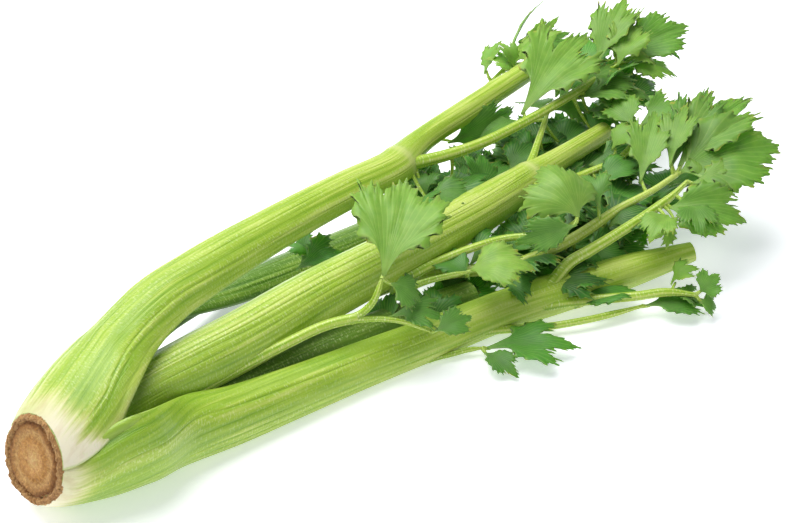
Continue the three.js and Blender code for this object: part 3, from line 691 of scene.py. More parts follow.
def corkTree():
    # small corky lumps scattered over the rim of the cut
    tree, add, given = newTree("corkLumps", {
        "Per Square Metre": "Float", "Lump Size": "Float", "Seed": "Int", "Cork": "Material"})
    rim = add("GeometryNodeInputNamedAttribute", {"Name": "rimZone"})
    onRim = add("FunctionNodeCompare", {0: rim, 1: 0.6}, operation="GREATER_THAN")
    points = add("GeometryNodeDistributePointsOnFaces", {
        "Mesh": given["Geometry"], "Selection": onRim, "Density": given["Per Square Metre"],
        "Seed": given["Seed"]})
    lump = add("GeometryNodeMeshIcoSphere", {"Radius": given["Lump Size"], "Subdivisions": 2})
    size = add("FunctionNodeRandomValue", {2: 0.35, 3: 1.0, "Seed": given["Seed"]}, data_type="FLOAT")
    squash = add("ShaderNodeCombineXYZ", {0: size.outputs[1], 1: add("ShaderNodeMath", {
        0: size.outputs[1], 1: 1.5}, operation="MULTIPLY"), 2: add("ShaderNodeMath", {
            0: size.outputs[1], 1: 0.6}, operation="MULTIPLY")})
    placed = add("GeometryNodeInstanceOnPoints", {
        "Points": points.outputs["Points"], "Instance": lump, "Rotation": points.outputs["Rotation"],
        "Scale": squash})
    ringed = add("GeometryNodeStoreNamedAttribute", {
        "Geometry": add("GeometryNodeRealizeInstances", {"Geometry": placed}), "Name": "ring",
        "Value": 0.97}, data_type="FLOAT", domain="POINT")
    joined = add("GeometryNodeJoinGeometry")
    tree.links.new(ringed.outputs[0], joined.inputs[0])
    tree.links.new(given["Geometry"], joined.inputs[0])
    smoothed = add("GeometryNodeSetShadeSmooth", {"Geometry": joined})
    real = add("GeometryNodeRealizeInstances", {"Geometry": smoothed})
    painted = add("GeometryNodeSetMaterial", {"Geometry": real, "Material": given["Cork"]})
    add("NodeGroupOutput", {"Geometry": painted})
    return tree


butt = buttSurface()
rimArea = math.pi * 2 * 0.019 * 0.0045
growNodes(butt, corkTree(), {
    "Per Square Metre": buttLook["lumps"] / rimArea, "Lump Size": buttLook["lumpSize"] * 0.001,
    "Seed": buttLook["seed"], "Cork": cork})
settle(butt, "butt", "butt")
print("butt made")


stemLook = {"ribs": 7, "ribDepth": 0.035, "sides": 54, "step": 1.8}

# route through the middle in millimetres, radius at each end
stems = {
    "heart_stalk_front": ([[27, -8, 27], [60, -12, 25], [99, -14, 27], [125, -19, 30], [151, -25, 32],
                           [161, -32, 34]], 2.8, 2.4),
    "heart_stalk_right": ([[27, 6, 27], [60, 7, 27], [100, 5, 24], [145, 1, 20], [185, -6, 18],
                           [215, -14, 18],
                           [228, -21, 18], [260, -46, 22], [282, -56, 28], [317, -61, 34], [338, -67, 39],
                           [352, -69, 42]], 3.6, 2.6),
    "leaf_stem_heart": ([[158, -30, 33], [163, -33, 36], [166, -36, 41], [169, -38, 49], [172, -37, 53]],
                        1.76, 1.44),
    "leaf_stem_heart_low": ([[158, -30, 33], [163, -35, 33.5], [169, -44, 35], [176, -52, 33],
                             [181, -60, 30]], 1.36, 1.04),
    "leaf_stem_middle_low": ([[196, -18, 25], [212, -20, 27], [230, -23, 28], [243, -28, 30], [258, -34, 31],
                              [270, -48, 35], [277, -60, 42], [279, -64, 47]], 2.4, 1.44),
    "leaf_stem_middle_short": ([[200, -24, 25], [207, -30, 29], [216, -36, 31], [225, -42, 32]], 1.6, 1.28),
    "leaf_stem_back": ([[250, 30, 48], [264, 26, 47], [275, 22, 47], [296, 17, 47], [324, 14, 48],
                        [353, 12, 50],
                        [386, 12, 52], [403, 13, 54]], 2.88, 2.08),
    "leaf_stem_back_far": ([[252, 37, 48], [266, 44, 42], [288, 50, 38], [320, 55, 38], [347, 59, 42],
                            [366, 61, 48]], 2.56, 1.6),
    "leaf_stem_middle_far": ([[304, -9, 37], [316, -3, 39], [328, 4, 40], [340, 11, 41], [352, 18, 42]],
                             2.08, 1.44),
    "leaf_stem_middle": ([[300, -17, 34], [316, -24, 33], [334, -29, 34], [353, -33, 36], [363, -32, 41],
                          [367, -30, 46]], 2.56, 1.6),
    "leaf_stem_middle_down": ([[352, -36, 34], [350, -40, 29], [348, -44, 20]], 1.28, 0.96),
    "leaf_stem_front": ([[248, -62, 10], [264, -63, 16], [276, -64, 23], [286, -67, 26], [302, -70, 29],
                         [325, -74, 34], [341, -76, 38],
                         [352, -76, 41]], 3.2, 2.08),
    "leaf_stem_front_low": ([[246, -62, 9], [262, -71, 9], [277, -82, 9], [290, -95, 11], [303, -106, 12.5],
                             [311, -116, 12]], 2.72, 2.08),
    "leaf_stem_floor_right": ([[208, -51, 7], [228, -61, 5.5], [243, -72, 4.5], [262, -85, 5.5],
                               [280, -94, 6], [291, -99, 6.5]], 2.08, 1.6),
    "leaf_stem_floor_left": ([[190, -50, 3], [200, -56, 3.5], [208, -60, 4], [213, -64, 4.5]], 1.44, 1.2),
}


def routePoints(route, step):
    route = np.array(route, float)
    places = np.concatenate([[0], np.cumsum(np.linalg.norm(np.diff(route, axis=0), axis=1))])
    at = np.linspace(0, places[-1], max(int(places[-1] / step), 3) + 1)
    return curveThrough(places, route, at), at / places[-1]


def stemTree():
    # a ribbed tube along a line of points, as thick as the line says
    tree, add, given = newTree("stemTube",
                               {"Ribs": "Float", "Rib Depth": "Float", "Sides": "Int", "Skin": "Material"})
    thickness = add("GeometryNodeInputNamedAttribute", {"Name": "thickness"})
    line = add("GeometryNodeMeshToCurve", {"Mesh": given["Geometry"]})
    length = add("GeometryNodeSplineParameter")
    millimetres = add("ShaderNodeMath", {0: length.outputs["Length"], 1: 1000.0}, operation="MULTIPLY")
    measured = add("GeometryNodeStoreNamedAttribute", {
        "Geometry": line, "Name": "along", "Value": millimetres}, data_type="FLOAT", domain="POINT")
    ring = add("GeometryNodeCurvePrimitiveCircle", {"Resolution": given["Sides"], "Radius": 1.0},
                   mode="RADIUS")
    turns = add("ShaderNodeMath", {0: add("GeometryNodeSplineParameter").outputs["Factor"],
                                             1: given["Ribs"]}, operation="MULTIPLY")
    part = add("ShaderNodeMath", {0: add("ShaderNodeMath", {0: turns}, operation="FRACT"),
                                            1: 2.0, 2: -1.0}, operation="MULTIPLY_ADD")
    crest = add("ShaderNodeMath", {0: 1.0, 1: add("ShaderNodeMath", {
        0: add("ShaderNodeMath", {0: part}, operation="ABSOLUTE"), 1: 2.2}, operation="POWER")},
        operation="SUBTRACT")
    ribbed = add("GeometryNodeStoreNamedAttribute", {
        "Geometry": ring.outputs["Curve"], "Name": "rib", "Value": crest}, data_type="FLOAT", domain="POINT")
    around = add("GeometryNodeStoreNamedAttribute", {
        "Geometry": ribbed, "Name": "around", "Value": turns}, data_type="FLOAT", domain="POINT")
    out = add("ShaderNodeVectorMath", {0: add("GeometryNodeInputPosition"),
                                                 "Scale": add("ShaderNodeMath", {
                                                     0: crest, 1: given["Rib Depth"]}, operation="MULTIPLY")},
                  operation="SCALE")
    profile = add("GeometryNodeSetPosition", {"Geometry": around, "Offset": out})
    tube = add("GeometryNodeCurveToMesh", {"Curve": measured, "Profile Curve": profile,
                                                     "Scale": thickness, "Fill Caps": True})
    across = add("GeometryNodeInputNamedAttribute", {"Name": "around"})
    lengthwise = add("GeometryNodeInputNamedAttribute", {"Name": "along"})
    pair = add("ShaderNodeCombineXYZ", {0: add("ShaderNodeMath", {0: across, 1: 1.6},
                                                             operation="MULTIPLY"), 1: lengthwise})
    mapped = add("GeometryNodeStoreNamedAttribute", {
        "Geometry": tube, "Name": "UVMap", "Value": pair}, data_type="FLOAT2", domain="CORNER")
    smoothed = add("GeometryNodeSetShadeSmooth", {"Geometry": mapped})
    real = add("GeometryNodeRealizeInstances", {"Geometry": smoothed})
    painted = add("GeometryNodeSetMaterial", {"Geometry": real, "Material": given["Skin"]})
    add("NodeGroupOutput", {"Geometry": painted})
    return tree


def stemLine(name, routes, skin):
    # lines of points for the tube tree: routes is a list of (points, radius at each point)
    points, edges, thickness = [], [], []
    for line, radius in routes:
        start = len(points)
        points += line.tolist()
        thickness += (np.asarray(radius) * 0.001).tolist()
        edges += [(start + i, start + i + 1) for i in range(len(line) - 1)]
    mesh = bpy.data.meshes.new(name)
    mesh.from_pydata(toRow(points).tolist(), edges, [])
    mesh.attributes.new("thickness", "FLOAT", "POINT").data.foreach_set("value",
                                                                        np.array(thickness, np.float32))
    thing = bpy.data.objects.new(name, mesh)
    bpy.context.scene.collection.objects.link(thing)
    growNodes(thing, stemNodes, {"Ribs": float(stemLook["ribs"]), "Rib Depth": stemLook["ribDepth"],
                                 "Sides": stemLook["sides"], "Skin": skin})
    for key, value in {"joint": 0.0, "bleach": -0.9, "inner": 0.0}.items():
        attribute = thing.data.attributes.new(key, "FLOAT", "POINT")
        attribute.data.foreach_set("value", np.full(len(thing.data.vertices), value, np.float32))
    return thing


stemNodes = stemTree()
stemLines = {}
for name, (route, startRadius, endRadius) in stems.items():
    line, share = routePoints(route, stemLook["step"])
    stemLines[name] = line
    flare = 0.9 * np.exp(-share * 7) if name.startswith("leaf") else 0 * share
    radius = startRadius + (endRadius - startRadius) * share + flare
    if name != "heart_stalk_front":
        radius = radius * (1 - 0.45 * smooth(0.8, 1, share))
    thing = stemLine(camel(name), [(line, radius)], skinOpen)
    settle(thing, "heart_stalk" if name.startswith("heart") else "leaf_stem", name)
print("stems made")


leafLook = {
    "thickness": 0.42,      # mm
    "ribThickness": 1.3,    # mm, the midrib at the base
    "jitter": 0.022,        # how uneven the teeth are, as a share of the length
    "quilt": 0.035,         # mm, how far the blade swells between veins
    "ripple": 1.2,          # mm, waves of the edge
    "crinkle": 1.2,         # mm, soft lumps of the blade
    "edgeSteps": 4,         # steps between a tooth and its notch
    "raySteps": 10,         # points from the base to the edge
    "coarseEdge": 2,        # how many fewer of each a dim leaflet has
    "coarseRay": 3,
    "middleTeeth": 8,       # teeth and notches of the middle lobe, on one side
    "smallTeeth": 0.07,     # height of the small teeth, as a share of the gap they fill
    "evenings": 60,         # times the inner points are moved between their neighbours
    "evenAcross": 0.95,     # share of that which is sideways
}

# right half of a blade, apex to margin: x as a share of the half width, y of the length, and what is there
leafTeeth = [
    (0.0, 1.0, "tip"), (0.055, 0.905, "notch"), (0.135, 0.93, "tip"), (0.14, 0.82, "notch"),
    (0.235, 0.835, "tip"), (0.21, 0.72, "notch"), (0.3, 0.715, "tip"), (0.24, 0.56, "notch"),
    (0.45, 0.735, "tip"), (0.475, 0.655, "notch"), (0.67, 0.81, "tip"), (0.69, 0.715, "notch"),
    (0.98, 0.79, "tip"), (0.83, 0.655, "notch"), (1.0, 0.6, "tip"), (0.79, 0.54, "notch"),
    (0.87, 0.425, "tip"), (0.63, 0.43, "notch"), (0.66, 0.31, "tip"), (0.38, 0.3, "margin"),
]

# the same for a broad blade, with a wide base and short lobes
broadTeeth = [
    (0.0, 1.0, "tip"), (0.07, 0.93, "notch"), (0.15, 0.955, "tip"), (0.2, 0.865, "notch"),
    (0.3, 0.89, "tip"), (0.31, 0.79, "notch"), (0.43, 0.81, "tip"), (0.4, 0.68, "notch"),
    (0.58, 0.8, "tip"), (0.6, 0.71, "notch"), (0.76, 0.76, "tip"), (0.74, 0.64, "notch"),
    (0.92, 0.64, "tip"), (0.85, 0.53, "notch"), (1.0, 0.5, "tip"), (0.88, 0.41, "notch"),
    (0.96, 0.33, "tip"), (0.78, 0.27, "notch"), (0.76, 0.18, "tip"), (0.38, 0.1, "margin"),
]

# base, tip, width, roll, arch, fold, which green (a lit, half-shaded or shaded copy: painted light and
# shade), tone
leaflets = {
    "leaf_back_1": ([329, 17, 51], [399, 32, 68], 46, 14, 7, 12, "bright", 0.35),
    "leaf_back_2": ([388, 16, 55], [432, 31, 78], 26, -2, 5, 14, "bright", 0.3),
    "leaf_back_3": ([404, 16, 56], [434, 29, 70], 28, -20, 5, 20, "bright", 0.35),
    "leaf_back_4": ([407, 13, 57], [450, 1, 62], 30, 30, 6, 14, "middle", 0.5),
    "leaf_back_5": ([405, 10, 53], [424, -14, 47], 18, 10, 5, -14, "bright", 0.4),
    "leaf_back_6": ([370, 9, 48], [402, -14, 42], 30, 18, 5, 10, "middle", 0.4),
    "leaf_far_1": ([369, 62, 52], [405, 68, 72], 10, -55, 3, 10, "bright", 0.3),
    "leaf_far_2": ([350, 63, 48], [369, 68, 60], 14, -30, 2, 12, "bright", 0.3),
    "leaf_far_3": ([370, 58, 53], [408, 60, 63], 12, 40, 4, 10, "bright", 0.4),
    "leaf_far_4": ([369, 61, 49], [409, 52, 55], 20, 14, 4, 16, "middle", 0.4),
    "leaf_between_1": ([297, 40, 37], [346, 37, 40], 24, 70, 4, 8, "middle", 0.3),
    "leaf_between_2": ([277, 16, 32], [262, 40, 30], 26, -24, 3, 8, "shade", 0.4),
    "leaf_between_3": ([173, 24, 26], [200, 14, 27], 26, 12, 4, 18, "shade", 0.3),
    "leaf_middle_far_1": ([354, 19, 42], [380, 10, 34], 24, 30, 4, 8, "middle", 0.4),
    "leaf_middle_far_2": ([352, 21, 41], [364, 42, 30], 22, 0, 4, 8, "middle", 0.3),
    "leaf_middle_1": ([367, -28, 47], [377, -6, 50], 22, -20, 3, 10, "bright", 0.2),
    "leaf_middle_2": ([369, -31, 47], [394, -40, 56], 22, 20, 4, 12, "middle", 0.5),
    "leaf_middle_3": ([347, -46, 18], [327, -72, 9], 24, 14, 3, 8, "shade", 0.4),
    "leaf_middle_4": ([350, -22, 24], [333, -42, 15], 22, 14, 3, 8, "shade", 0.3),
    "leaf_middle_low_1": ([280, -64, 48], [287, -32, 60], 44, -5, 8, -10, "bright", 0.4),
    "leaf_middle_low_2": ([277, -66, 46], [256, -44, 34], 18, -50, 4, 10, "middle", 0.4),
    "leaf_middle_short_1": ([226, -43, 33], [247, -66, 33], 32, 6, 5, 12, "bright", 0.5),
    "leaf_heart_1": ([173, -37, 54], [223, -3, 70], 48, 12, 8, 8, "bright", 0.4),
    "leaf_heart_2": ([175, -39, 50], [187, -48, 38], 20, 22, 3, -10, "middle", 0.4),
    "leaf_heart_3": ([182, -61, 30], [203, -66, 30], 15, 34, 3, 10, "middle", 0.3),
    "leaf_right_1": ([354, -70, 43], [404, -96, 47], 50, 20, 7, 12, "bright", 0.2),
    "leaf_right_2": ([356, -67, 44], [420, -64, 57], 40, 4, 7, 14, "bright", 0.2),
    "leaf_right_3": ([352, -65, 44], [409, -45, 59], 28, 6, 5, 16, "middle", 0.4),
    "leaf_right_4": ([334, -60, 41], [374, -37, 58], 24, -2, 4, 14, "bright", 0.3),
    "leaf_right_5": ([350, -66, 46], [384, -50, 63], 22, -18, 4, 14, "bright", 0.3),
    "leaf_front_1": ([352, -79, 41], [372, -99, 42], 24, 20, 4, 10, "bright", 0.3),
    "leaf_front_2": ([334, -79, 35], [355, -113, 32], 32, 34, 6, 12, "bright", 0.2),
    "leaf_front_3": ([333, -86, 33], [313, -82, 26], 20, -30, 3, -10, "bright", 0.5),
    "leaf_front_low_1": ([313, -117, 13], [322, -122, 22], 16, 40, 3, 10, "middle", 0.4),
    "leaf_front_low_2": ([311, -119, 9], [318, -124, 4], 14, 30, 2, 10, "middle", 0.4),
    "leaf_floor_right": ([292, -100, 6.5], [320, -121, 3], 20, 10, 3, 6, "middle", 0.2),
    "leaf_floor_left": ([214, -65, 4], [246, -97, 3], 34, 6, 5, 8, "shade", 0.6),
    "leaf_floor_low": ([211, -67, 4], [211, -90, 2], 14, 10, 3, 6, "middle", 0.2),
}
# more leaflets behind and between those, where the head is dense: base, tip, width, which green (a lit,
# half-shaded or shaded copy: painted light and shade), tone
fillingLook = {"roll": 0, "arch": 5, "fold": 10, "seed": 300}
filling = {
    "farTuft1": ([363, 51, 45], [352, 66, 55], 18, "bright", 0.35),
    "farTuft2": ([362, 52, 50], [363, 66, 62], 12, "bright", 0.3),
    "farTuft3": ([367, 58, 48], [393, 42, 66], 20, "bright", 0.45),
    "farTuft4": ([393, 59, 40], [412, 51, 50], 16, "shade", 0.6),
    "backUnder1": ([368, 13, 45], [396, -9, 50], 40, "middle", 0.45),
    "backUnder2": ([371, 8, 38], [382, -22, 36], 30, "middle", 0.3),
    "backUnder3": ([371, 26, 38], [403, 31, 50], 30, "shade", 0.5),
    "backEnd1": ([396, 7, 57], [423, 14, 70], 26, "bright", 0.4),
    "backEnd2": ([427, 16, 50], [440, -4, 48], 16, "shade", 0.5),
    "backEnd3": ([404, 8, 56], [417, -4, 52], 16, "bright", 0.5),
    "gapLeft1": ([339, 26, 38], [307, 34, 32], 26, "middle", 0.3),
    "gapLeft2": ([334, 4, 26], [308, 1, 20], 26, "shade", 0.3),
    "gapLeft3": ([349, 5, 25], [373, 6, 30], 30, "shade", 0.4),
    "gapLeft4": ([330, 10, 22], [329, 33, 28], 26, "shade", 0.4),
    "gapLeft5": ([365, -1, 30], [385, -3, 38], 24, "shade", 0.5),
    "middleEnd1": ([349, -29, 40], [367, -34, 48], 18, "bright", 0.3),
    "middleEnd2": ([373, -30, 30], [394, -33, 36], 20, "middle", 0.3),
    "middleEnd3": ([331, -36, 30], [356, -43, 34], 20, "shade", 0.5),
    "inside1": ([319, -51, 24], [356, -52, 24], 30, "shade", 0.4),
    "inside2": ([313, -53, 16], [346, -54, 14], 34, "shade", 0.3),
    "inside3": ([291, -52, 14], [300, -72, 10], 30, "shade", 0.4),
    "inside4": ([284, -51, 26], [287, -27, 28], 24, "shade", 0.5),
    "inside5": ([279, -45, 12], [285, -65, 8], 28, "shade", 0.3),
    "inside6": ([245, -46, 16], [253, -65, 12], 26, "shade", 0.4),
    "inside7": ([302, -60, 40], [313, -38, 46], 22, "middle", 0.4),
    "right1": ([370, -63, 46], [399, -50, 60], 26, "middle", 0.5),
    "right2": ([354, -83, 38], [372, -78, 44], 24, "bright", 0.3),
    "right3": ([342, -86, 36], [324, -107, 34], 22, "middle", 0.4),
    "right4": ([327, -84, 36], [303, -91, 33], 20, "bright", 0.4),
    "heart1": ([175, -39, 30], [193, -60, 28], 24, "middle", 0.3),
    "heart2": ([230, -39, 24], [228, -14, 22], 20, "shade", 0.5),
    "frontLow1": ([311, -101, 10], [323, -110, 18], 18, "bright", 0.4),
    "frontLow2": ([306, -104, 6], [315, -118, 4], 16, "middle", 0.4),
    "frontLow3": ([267, -76, 6], [300, -91, 6], 22, "shade", 0.5),
    "behind1": ([182, 30, 22], [202, 29, 28], 26, "shade", 0.5),
    "behind2": ([187, 28, 22], [183, 42, 26], 18, "shade", 0.6),
    "behind3": ([250, 11, 34], [268, -10, 38], 30, "middle", 0.2),
    "behind4": ([253, 14, 34], [264, 29, 40], 20, "middle", 0.2),
}
# dim leaflets at random inside the head, all in the shaded copy of the leaf green (painted shade): lowest and
# highest corner, how many, general direction
thickets = [
    ([286, -4, 6], [372, 34, 30], 26, (1.0, 0.1, 0.15)),
    ([236, -62, 5], [330, -24, 20], 26, (1.0, -0.2, 0.1)),
    ([300, -66, 5], [372, -10, 30], 30, (1.0, -0.1, 0.2)),
    ([180, -38, 4], [250, -26, 14], 8, (1.0, -0.1, 0.0)),
    ([370, -6, 26], [400, 40, 42], 8, (1.0, 0.0, 0.2)),
    ([250, -46, 4], [304, -16, 20], 16, (1.0, -0.1, 0.1)),
    ([232, 6, 5], [300, 30, 32], 16, (1.0, 0.2, 0.1)),
]


def thicket(number, low, high, count, way):
    rng = np.random.default_rng(700 + number)
    low, high = np.array(low, float), np.array(high, float)
    made = []
    for _ in range(count):
        base = low + (high - low) * rng.uniform(0, 1, 3)
        tip = base + unit(np.array(way) + rng.normal(0, 0.45, 3) * [1, 1, 0.35]) * rng.uniform(24, 36)
        tip[2] = max(tip[2], 4)
        made.append((base, tip, rng.uniform(22, 34), rng.uniform(-30, 30), rng.uniform(1, 6),
                     rng.uniform(-6, 16), rng.uniform(0.1, 0.6)))
    return made


# the lit, half-shaded and shaded copies of the leaf material: painted light and shade
leafMaterials = {"bright": leafPaintedLight, "middle": leafPaintedHalfShade, "shade": leafShade}


def leafRays(rng, broad, steps):
    # outline points from left to right, the point of a vein each one is reached from, how far each lies from
    # a vein, and the small teeth between; broad goes from 0, wedge-shaped and deeply lobed, to 1
    root = 0.26 - 0.18 * broad
    vein = np.array([0.98, 0.79 - 0.2 * broad]) - np.array([0, root])
    keys = []
    for sideSign in (-1, 1):
        half, leave, turn = [], 0.0, -0.04
        for i, ((x, y, kind), (broadX, broadY, _)) in enumerate(zip(leafTeeth, broadTeeth)):
            x, y = x + (broadX - x) * broad, y + (broadY - y) * broad
            jitter = rng.normal(0, leafLook["jitter"], 2) * (0.3 if kind == "margin" else 1)
            end = np.array([x * sideSign, y]) + jitter * np.array([1.2, 1])
            if i < leafLook["middleTeeth"]:
                # each tooth of the middle lobe stands further round than the one before
                turn = max(turn + 0.04, math.atan2(end[0] * sideSign, end[1]))
                end[0] = sideSign * end[1] * math.tan(turn)
            if kind == "margin":
                start = np.array([0.17 * sideSign, 0.27 - 0.2 * broad])
            elif i < leafLook["middleTeeth"]:
                start = np.array([end[0] * 0.4, 0.03 + end[1] * 0.5])
            else:
                # outer teeth leave the side vein later than inner ones
                share = np.dot([x, y - root], vein) / np.dot(vein, vein)
                leave = max(leave + 0.02, share) if i <= 12 else min(leave - 0.02, share)
                start = np.array([0, root]) + vein * max(leave - 0.3 - 0.15 * broad, 0.1)
                start[0] *= sideSign
            half.append((end, start, 1.0 if kind == "notch" else 0.0))
        keys.append(half)
    ordered = keys[0][::-1] + keys[1][1:]
    ends = np.array([key[0] for key in ordered])
    starts = np.array([key[1] for key in ordered])
    between = np.array([key[2] for key in ordered])
    place = np.linspace(0, len(ordered) - 1, (len(ordered) - 1) * steps + 1)
    index = np.clip(place.astype(int), 0, len(ordered) - 2)
    share = (place - index)[:, None]
    bowed = np.diff(ends, axis=0)[index]
    outward = np.stack([-bowed[:, 1], bowed[:, 0]], -1) * leafLook["smallTeeth"]
    end = ends[index] * (1 - share) + ends[index + 1] * share
    notched = outward * np.sin(3 * math.pi * share)
    start = starts[index] * (1 - share) + starts[index + 1] * share
    apart = between[index] * (1 - share[:, 0]) + between[index + 1] * share[:, 0]
    return end, start, apart, notched


def leafShape(base, tip, width, roll, arch, fold, seed, tone, extra=None):
    # points, faces and values of one blade
    extra = extra or {}
    rng = np.random.default_rng(seed)
    broad = extra.get("broad", rng.uniform(0, 0.7))
    coarse = extra.get("coarse", False)
    end, start, apart, notched = leafRays(rng, broad, leafLook["edgeSteps"] - leafLook["coarseEdge"] * coarse)
    rays, steps = len(end), leafLook["raySteps"] - leafLook["coarseRay"] * coarse
    t = np.linspace(-1, 1, rays)[:, None]
    s = np.linspace(0, 1, steps)[None, :]
    root = np.concatenate([t * 0.03, t * 0], 1)
    rise = np.concatenate([t * 0.075, np.full_like(t, 0.15 - 0.11 * broad)], 1)
    bezier = [((1 - s) ** 3)[..., None] * root[:, None], (3 * s * (1 - s) ** 2)[..., None] * rise[:, None],
              (3 * s**2 * (1 - s))[..., None] * start[:, None], (s**3)[..., None] * end[:, None]]
    flat = sum(bezier) + (s**9)[..., None] * notched[:, None]
    across = leafLook["evenAcross"]
    for _ in range(leafLook["evenings"]):
        sideways = (flat[:-2, 1:-1] + flat[2:, 1:-1]) / 2
        lengthways = (flat[1:-1, :-2] + flat[1:-1, 2:]) / 2
        flat[1:-1, 1:-1] = across * sideways + (1 - across) * lengthways
    base, tip = np.array(base, float), np.array(tip, float)
    length = np.linalg.norm(tip - base)
    along = (tip - base) / length
    up = unit(np.array([0, 0, 1.0]) - along * along[2])
    side = np.cross(along, up)
    angle = math.radians(roll)
    normal = up * math.cos(angle) + np.cross(along, up) * math.sin(angle)
    side = side * math.cos(angle) + np.cross(along, side) * math.sin(angle)
    x, y = flat[..., 0] * width / 2, flat[..., 1]
    big = min(1.0, width / 30)
    height = 4 * arch * y * (1 - y) + abs(x) * math.tan(math.radians(fold))
    height += leafLook["quilt"] * big * apart[:, None] * np.sin(math.pi * s**0.9) * 1.2
    reach = np.hypot(x / width * 2, y).clip(0, 1.1)
    height += leafLook["crinkle"] * big * smooth(0, 0.4, reach) * waves(
        seed, 8, np.stack([x.ravel(), (y * length).ravel(), 0 * x.ravel()], -1), 13).reshape(x.shape) * 0.6
    waveCount = rng.uniform(2.2, 3.4)
    around = np.arctan2(x, y * length + 2) * waveCount * 2.2
    height += leafLook["ripple"] * big * reach**2 * np.sin(around + rng.uniform(0, 6.3))
    bend = rng.uniform(-1, 1, 2) * 0.006 + extra.get("droop", -0.004)
    height += np.where(x < 0, bend[0], bend[1]) * x**2
    height += extra.get("curl", rng.uniform(-0.1, 0.05)) * length * np.clip(y - 0.55, 0, 1) ** 2
    points = base + along * (y * length)[..., None] + side * x[..., None] + normal * height[..., None]
    rib = np.exp(-(x / 0.9) ** 2) * (1 - s) ** 1.5
    half = leafLook["thickness"] / 2 + (leafLook["ribThickness"] / 2 - leafLook["thickness"] / 2) * rib
    half = half * (1 - 0.55 * s**6)
    top = points + normal * half[..., None]
    low = points - normal * half[..., None]
    index = np.arange(rays * steps).reshape(rays, steps)
    a, b = index[:-1, :-1], index[1:, :-1]
    c, d = index[1:, 1:], index[:-1, 1:]
    upper = np.stack([a, b, c, d], -1).reshape(-1, 4)
    lower = upper[:, ::-1] + rays * steps
    ring = np.concatenate([index[:, 0], index[-1, 1:], index[::-1, -1][1:], index[0, ::-1][1:-1]])
    nextOne = np.roll(ring, -1)
    wall = np.stack([ring, ring + rays * steps, nextOne + rays * steps, nextOne], -1)
    faces = np.concatenate([upper, lower, wall])
    sample = upper[len(upper) // 2]
    corners = top.reshape(-1, 3)[sample]
    if np.dot(np.cross(corners[1] - corners[0], corners[2] - corners[0]), normal) < 0:
        faces = faces[:, ::-1]
    vein = 1 - smooth(0.0, 0.3, apart[:, None] + 0 * s)
    vein = vein * (1 - 0.7 * s) + 0.5 * (1 - smooth(0, 0.35, s))
    rim = smooth(0.82, 1, s) + 0 * t
    values = {
        "vein": np.tile(vein.clip(0, 1).ravel(), 2), "rim": np.tile(rim.ravel(), 2),
        "under": np.repeat([0.0, 1.0], rays * steps), "tone": np.full(2 * rays * steps, tone),
    }
    shift = rng.uniform(0, 500, 2)
    uv = np.tile(np.stack([x, y * length], -1).reshape(-1, 2) + shift, (2, 1))
    return np.concatenate([top.reshape(-1, 3), low.reshape(-1, 3)]), faces, values, uv


def joinShapes(shapes):
    points, faces, values, uvs, start = [], [], {}, [], 0
    for shapePoints, shapeFaces, shapeValues, uv in shapes:
        points.append(shapePoints)
        faces += (np.asarray(shapeFaces) + start).tolist()
        start += len(shapePoints)
        uvs.append(uv)
        for key, value in shapeValues.items():
            values.setdefault(key, []).append(value)
    return np.concatenate(points), faces, {k: np.concatenate(v) for k,
                                           v in values.items()}, np.concatenate(uvs)


leafExtras = {
    "leaf_heart_1": {"broad": 0.45, "droop": -0.002, "curl": 0.0}, "leaf_back_1": {"broad": 0.1},
    "leaf_middle_low_1": {"broad": 0.8, "droop": -0.02}, "leaf_right_1": {"broad": 0.9},
    "leaf_right_2": {"broad": 0.6}, "leaf_front_2": {"broad": 0.8}, "leaf_middle_short_1": {"broad": 0.9},
    "leaf_right_4": {"broad": 0.3}, "leaf_back_2": {"broad": 0.2}, "leaf_back_4": {"broad": 0.7},
}
stalklets = []


def addStalklet(base, tip):
    # the thin stalk of a leaflet, from the nearest stem
    base, tip = np.array(base, float), np.array(tip, float)
    way = unit(tip - base)
    near = min((line[np.argmin(np.linalg.norm(line - base, axis=1))] for line in stemLines.values()),
               key=lambda point: np.linalg.norm(point - base))
    if np.linalg.norm(near - base) < 30:
        line, share = routePoints([near, near * 0.5 + base * 0.5 + way * 0.5, base + way * 2.5], 1.5)
        stalklets.append((line, 1.1 - 0.5 * share))


for number, (name, (base, tip, width, roll, arch, fold, green, tone)) in enumerate(leaflets.items()):
    shape = leafShape(base, tip, width, roll, arch, fold, 100 + number, tone, leafExtras.get(name))
    thing = makeObject(camel(name), *shape[:3], uv=shape[3], material=leafMaterials[green])
    settle(thing, "leaf", name)
    addStalklet(base, tip)
# one joined piece for each copy of the leaf green: fillingBright, fillingMiddle and fillingShade carry
# painted light, half shade and shade
for green, material in leafMaterials.items():
    shapes = []
    for number, (base, tip, width, ownGreen, tone) in enumerate(filling.values()):
        if ownGreen == green:
            shapes.append(leafShape(base, tip, width, fillingLook["roll"], fillingLook["arch"],
                                    fillingLook["fold"], fillingLook["seed"] + number, tone))
            addStalklet(base, tip)
    points, faces, values, uv = joinShapes(shapes)
    settle(makeObject("filling" + green.capitalize(), points, faces, values, uv, material), "leaf")
seed = fillingLook["seed"] + len(filling)
# every thicket leaflet takes the shaded copy of the leaf green: painted shade in the gaps between the stalks
for box, place in enumerate(thickets):
    shapes = []
    for base, tip, width, roll, arch, fold, tone in thicket(box, *place):
        shapes.append(leafShape(base, tip, width, roll, arch, fold, seed, tone, {"coarse": True}))
        seed += 1
    points, faces, values, uv = joinShapes(shapes)
    settle(makeObject(f"thicket{box + 1}", points, faces, values, uv, leafShade), "leaf")
settle(stemLine("leafletStalks", stalklets, skinOpen), "leaf_stem")
print("leaflets made")


stageLook = {
    "floor": "#FFFFFF", "floorSize": 6.0, "floorGap": 0.0002, "world": "#F0F4FF", "worldStrength": 0.27,
    "glow": 0.42, "key": 18.8, "fill": 1.2, "lens": 80, "sensor": 36,
    "camera": (-287.0, -507.9, 540.8), "target": (239.3, 18.4, 0),
}


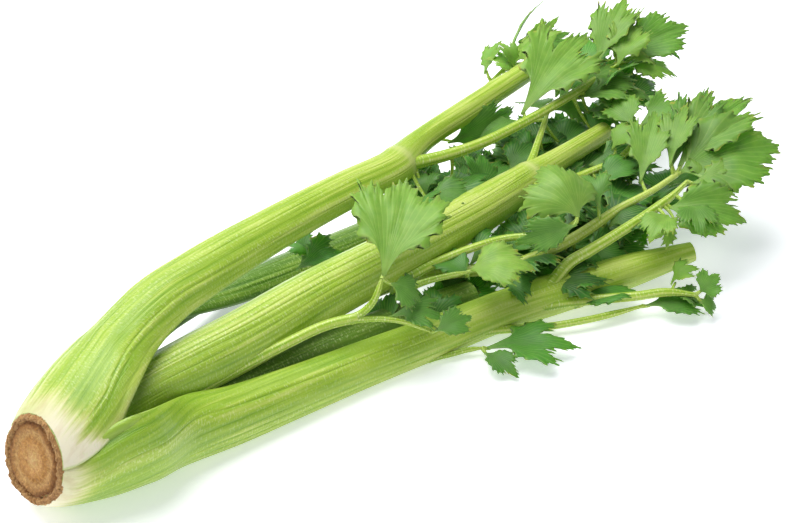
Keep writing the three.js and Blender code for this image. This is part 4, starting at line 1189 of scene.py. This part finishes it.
def setStage():
    size = stageLook["floorSize"]
    mesh = bpy.data.meshes.new("floor")
    corners = [(-size, -size), (size, -size), (size, size), (-size, size)]
    mesh.from_pydata([(x, y, cadLow.z - stageLook["floorGap"]) for x, y in corners], [], [(0, 1, 2, 3)])
    material = bpy.data.materials.new("palePaper")
    material.use_nodes = True
    body = material.node_tree.nodes["Principled BSDF"]
    body.inputs["Base Color"].default_value = toLinear(stageLook["floor"])
    body.inputs["Roughness"].default_value = 0.7
    body.inputs["Specular IOR Level"].default_value = 0.2
    body.inputs["Emission Color"].default_value = toLinear("#F4F6FF")
    body.inputs["Emission Strength"].default_value = stageLook["glow"]
    mesh.materials.append(material)
    floor = bpy.data.objects.new("floor", mesh)
    bpy.context.scene.collection.objects.link(floor)
    world = bpy.data.worlds.new("studio")
    world.use_nodes = True
    background = world.node_tree.nodes["Background"]
    background.inputs["Color"].default_value = toLinear(stageLook["world"])
    background.inputs["Strength"].default_value = stageLook["worldStrength"]
    bpy.context.scene.world = world


def softLight(name, place, target, size, power):
    light = bpy.data.lights.new(name, "AREA")
    light.shape = "DISK"
    light.size = size
    light.energy = power
    thing = bpy.data.objects.new(name, light)
    thing.location = Vector(toRow(place))
    thing.rotation_euler = (Vector(toRow(target)) - thing.location).to_track_quat("-Z", "Y").to_euler()
    bpy.context.scene.collection.objects.link(thing)


setStage()
middleOfHead = (190, -10, 20)
softLight("keyLight", (170, 430, 1050), middleOfHead, 1.3, stageLook["key"])
softLight("fillLight", (-900, -300, 700), middleOfHead, 0.9, stageLook["fill"])

cameraData = bpy.data.cameras.new("camera")
cameraData.lens = stageLook["lens"]
cameraData.sensor_width = stageLook["sensor"]
camera = bpy.data.objects.new("camera", cameraData)
camera.location = Vector(toRow(stageLook["camera"]))
camera.rotation_euler = (Vector(toRow(stageLook["target"])) - camera.location).to_track_quat("-Z",
                                                                                             "Y").to_euler()
bpy.context.scene.collection.objects.link(camera)
bpy.context.scene.camera = camera
bpy.context.scene.view_settings.view_transform = "Standard"
print("stage set")
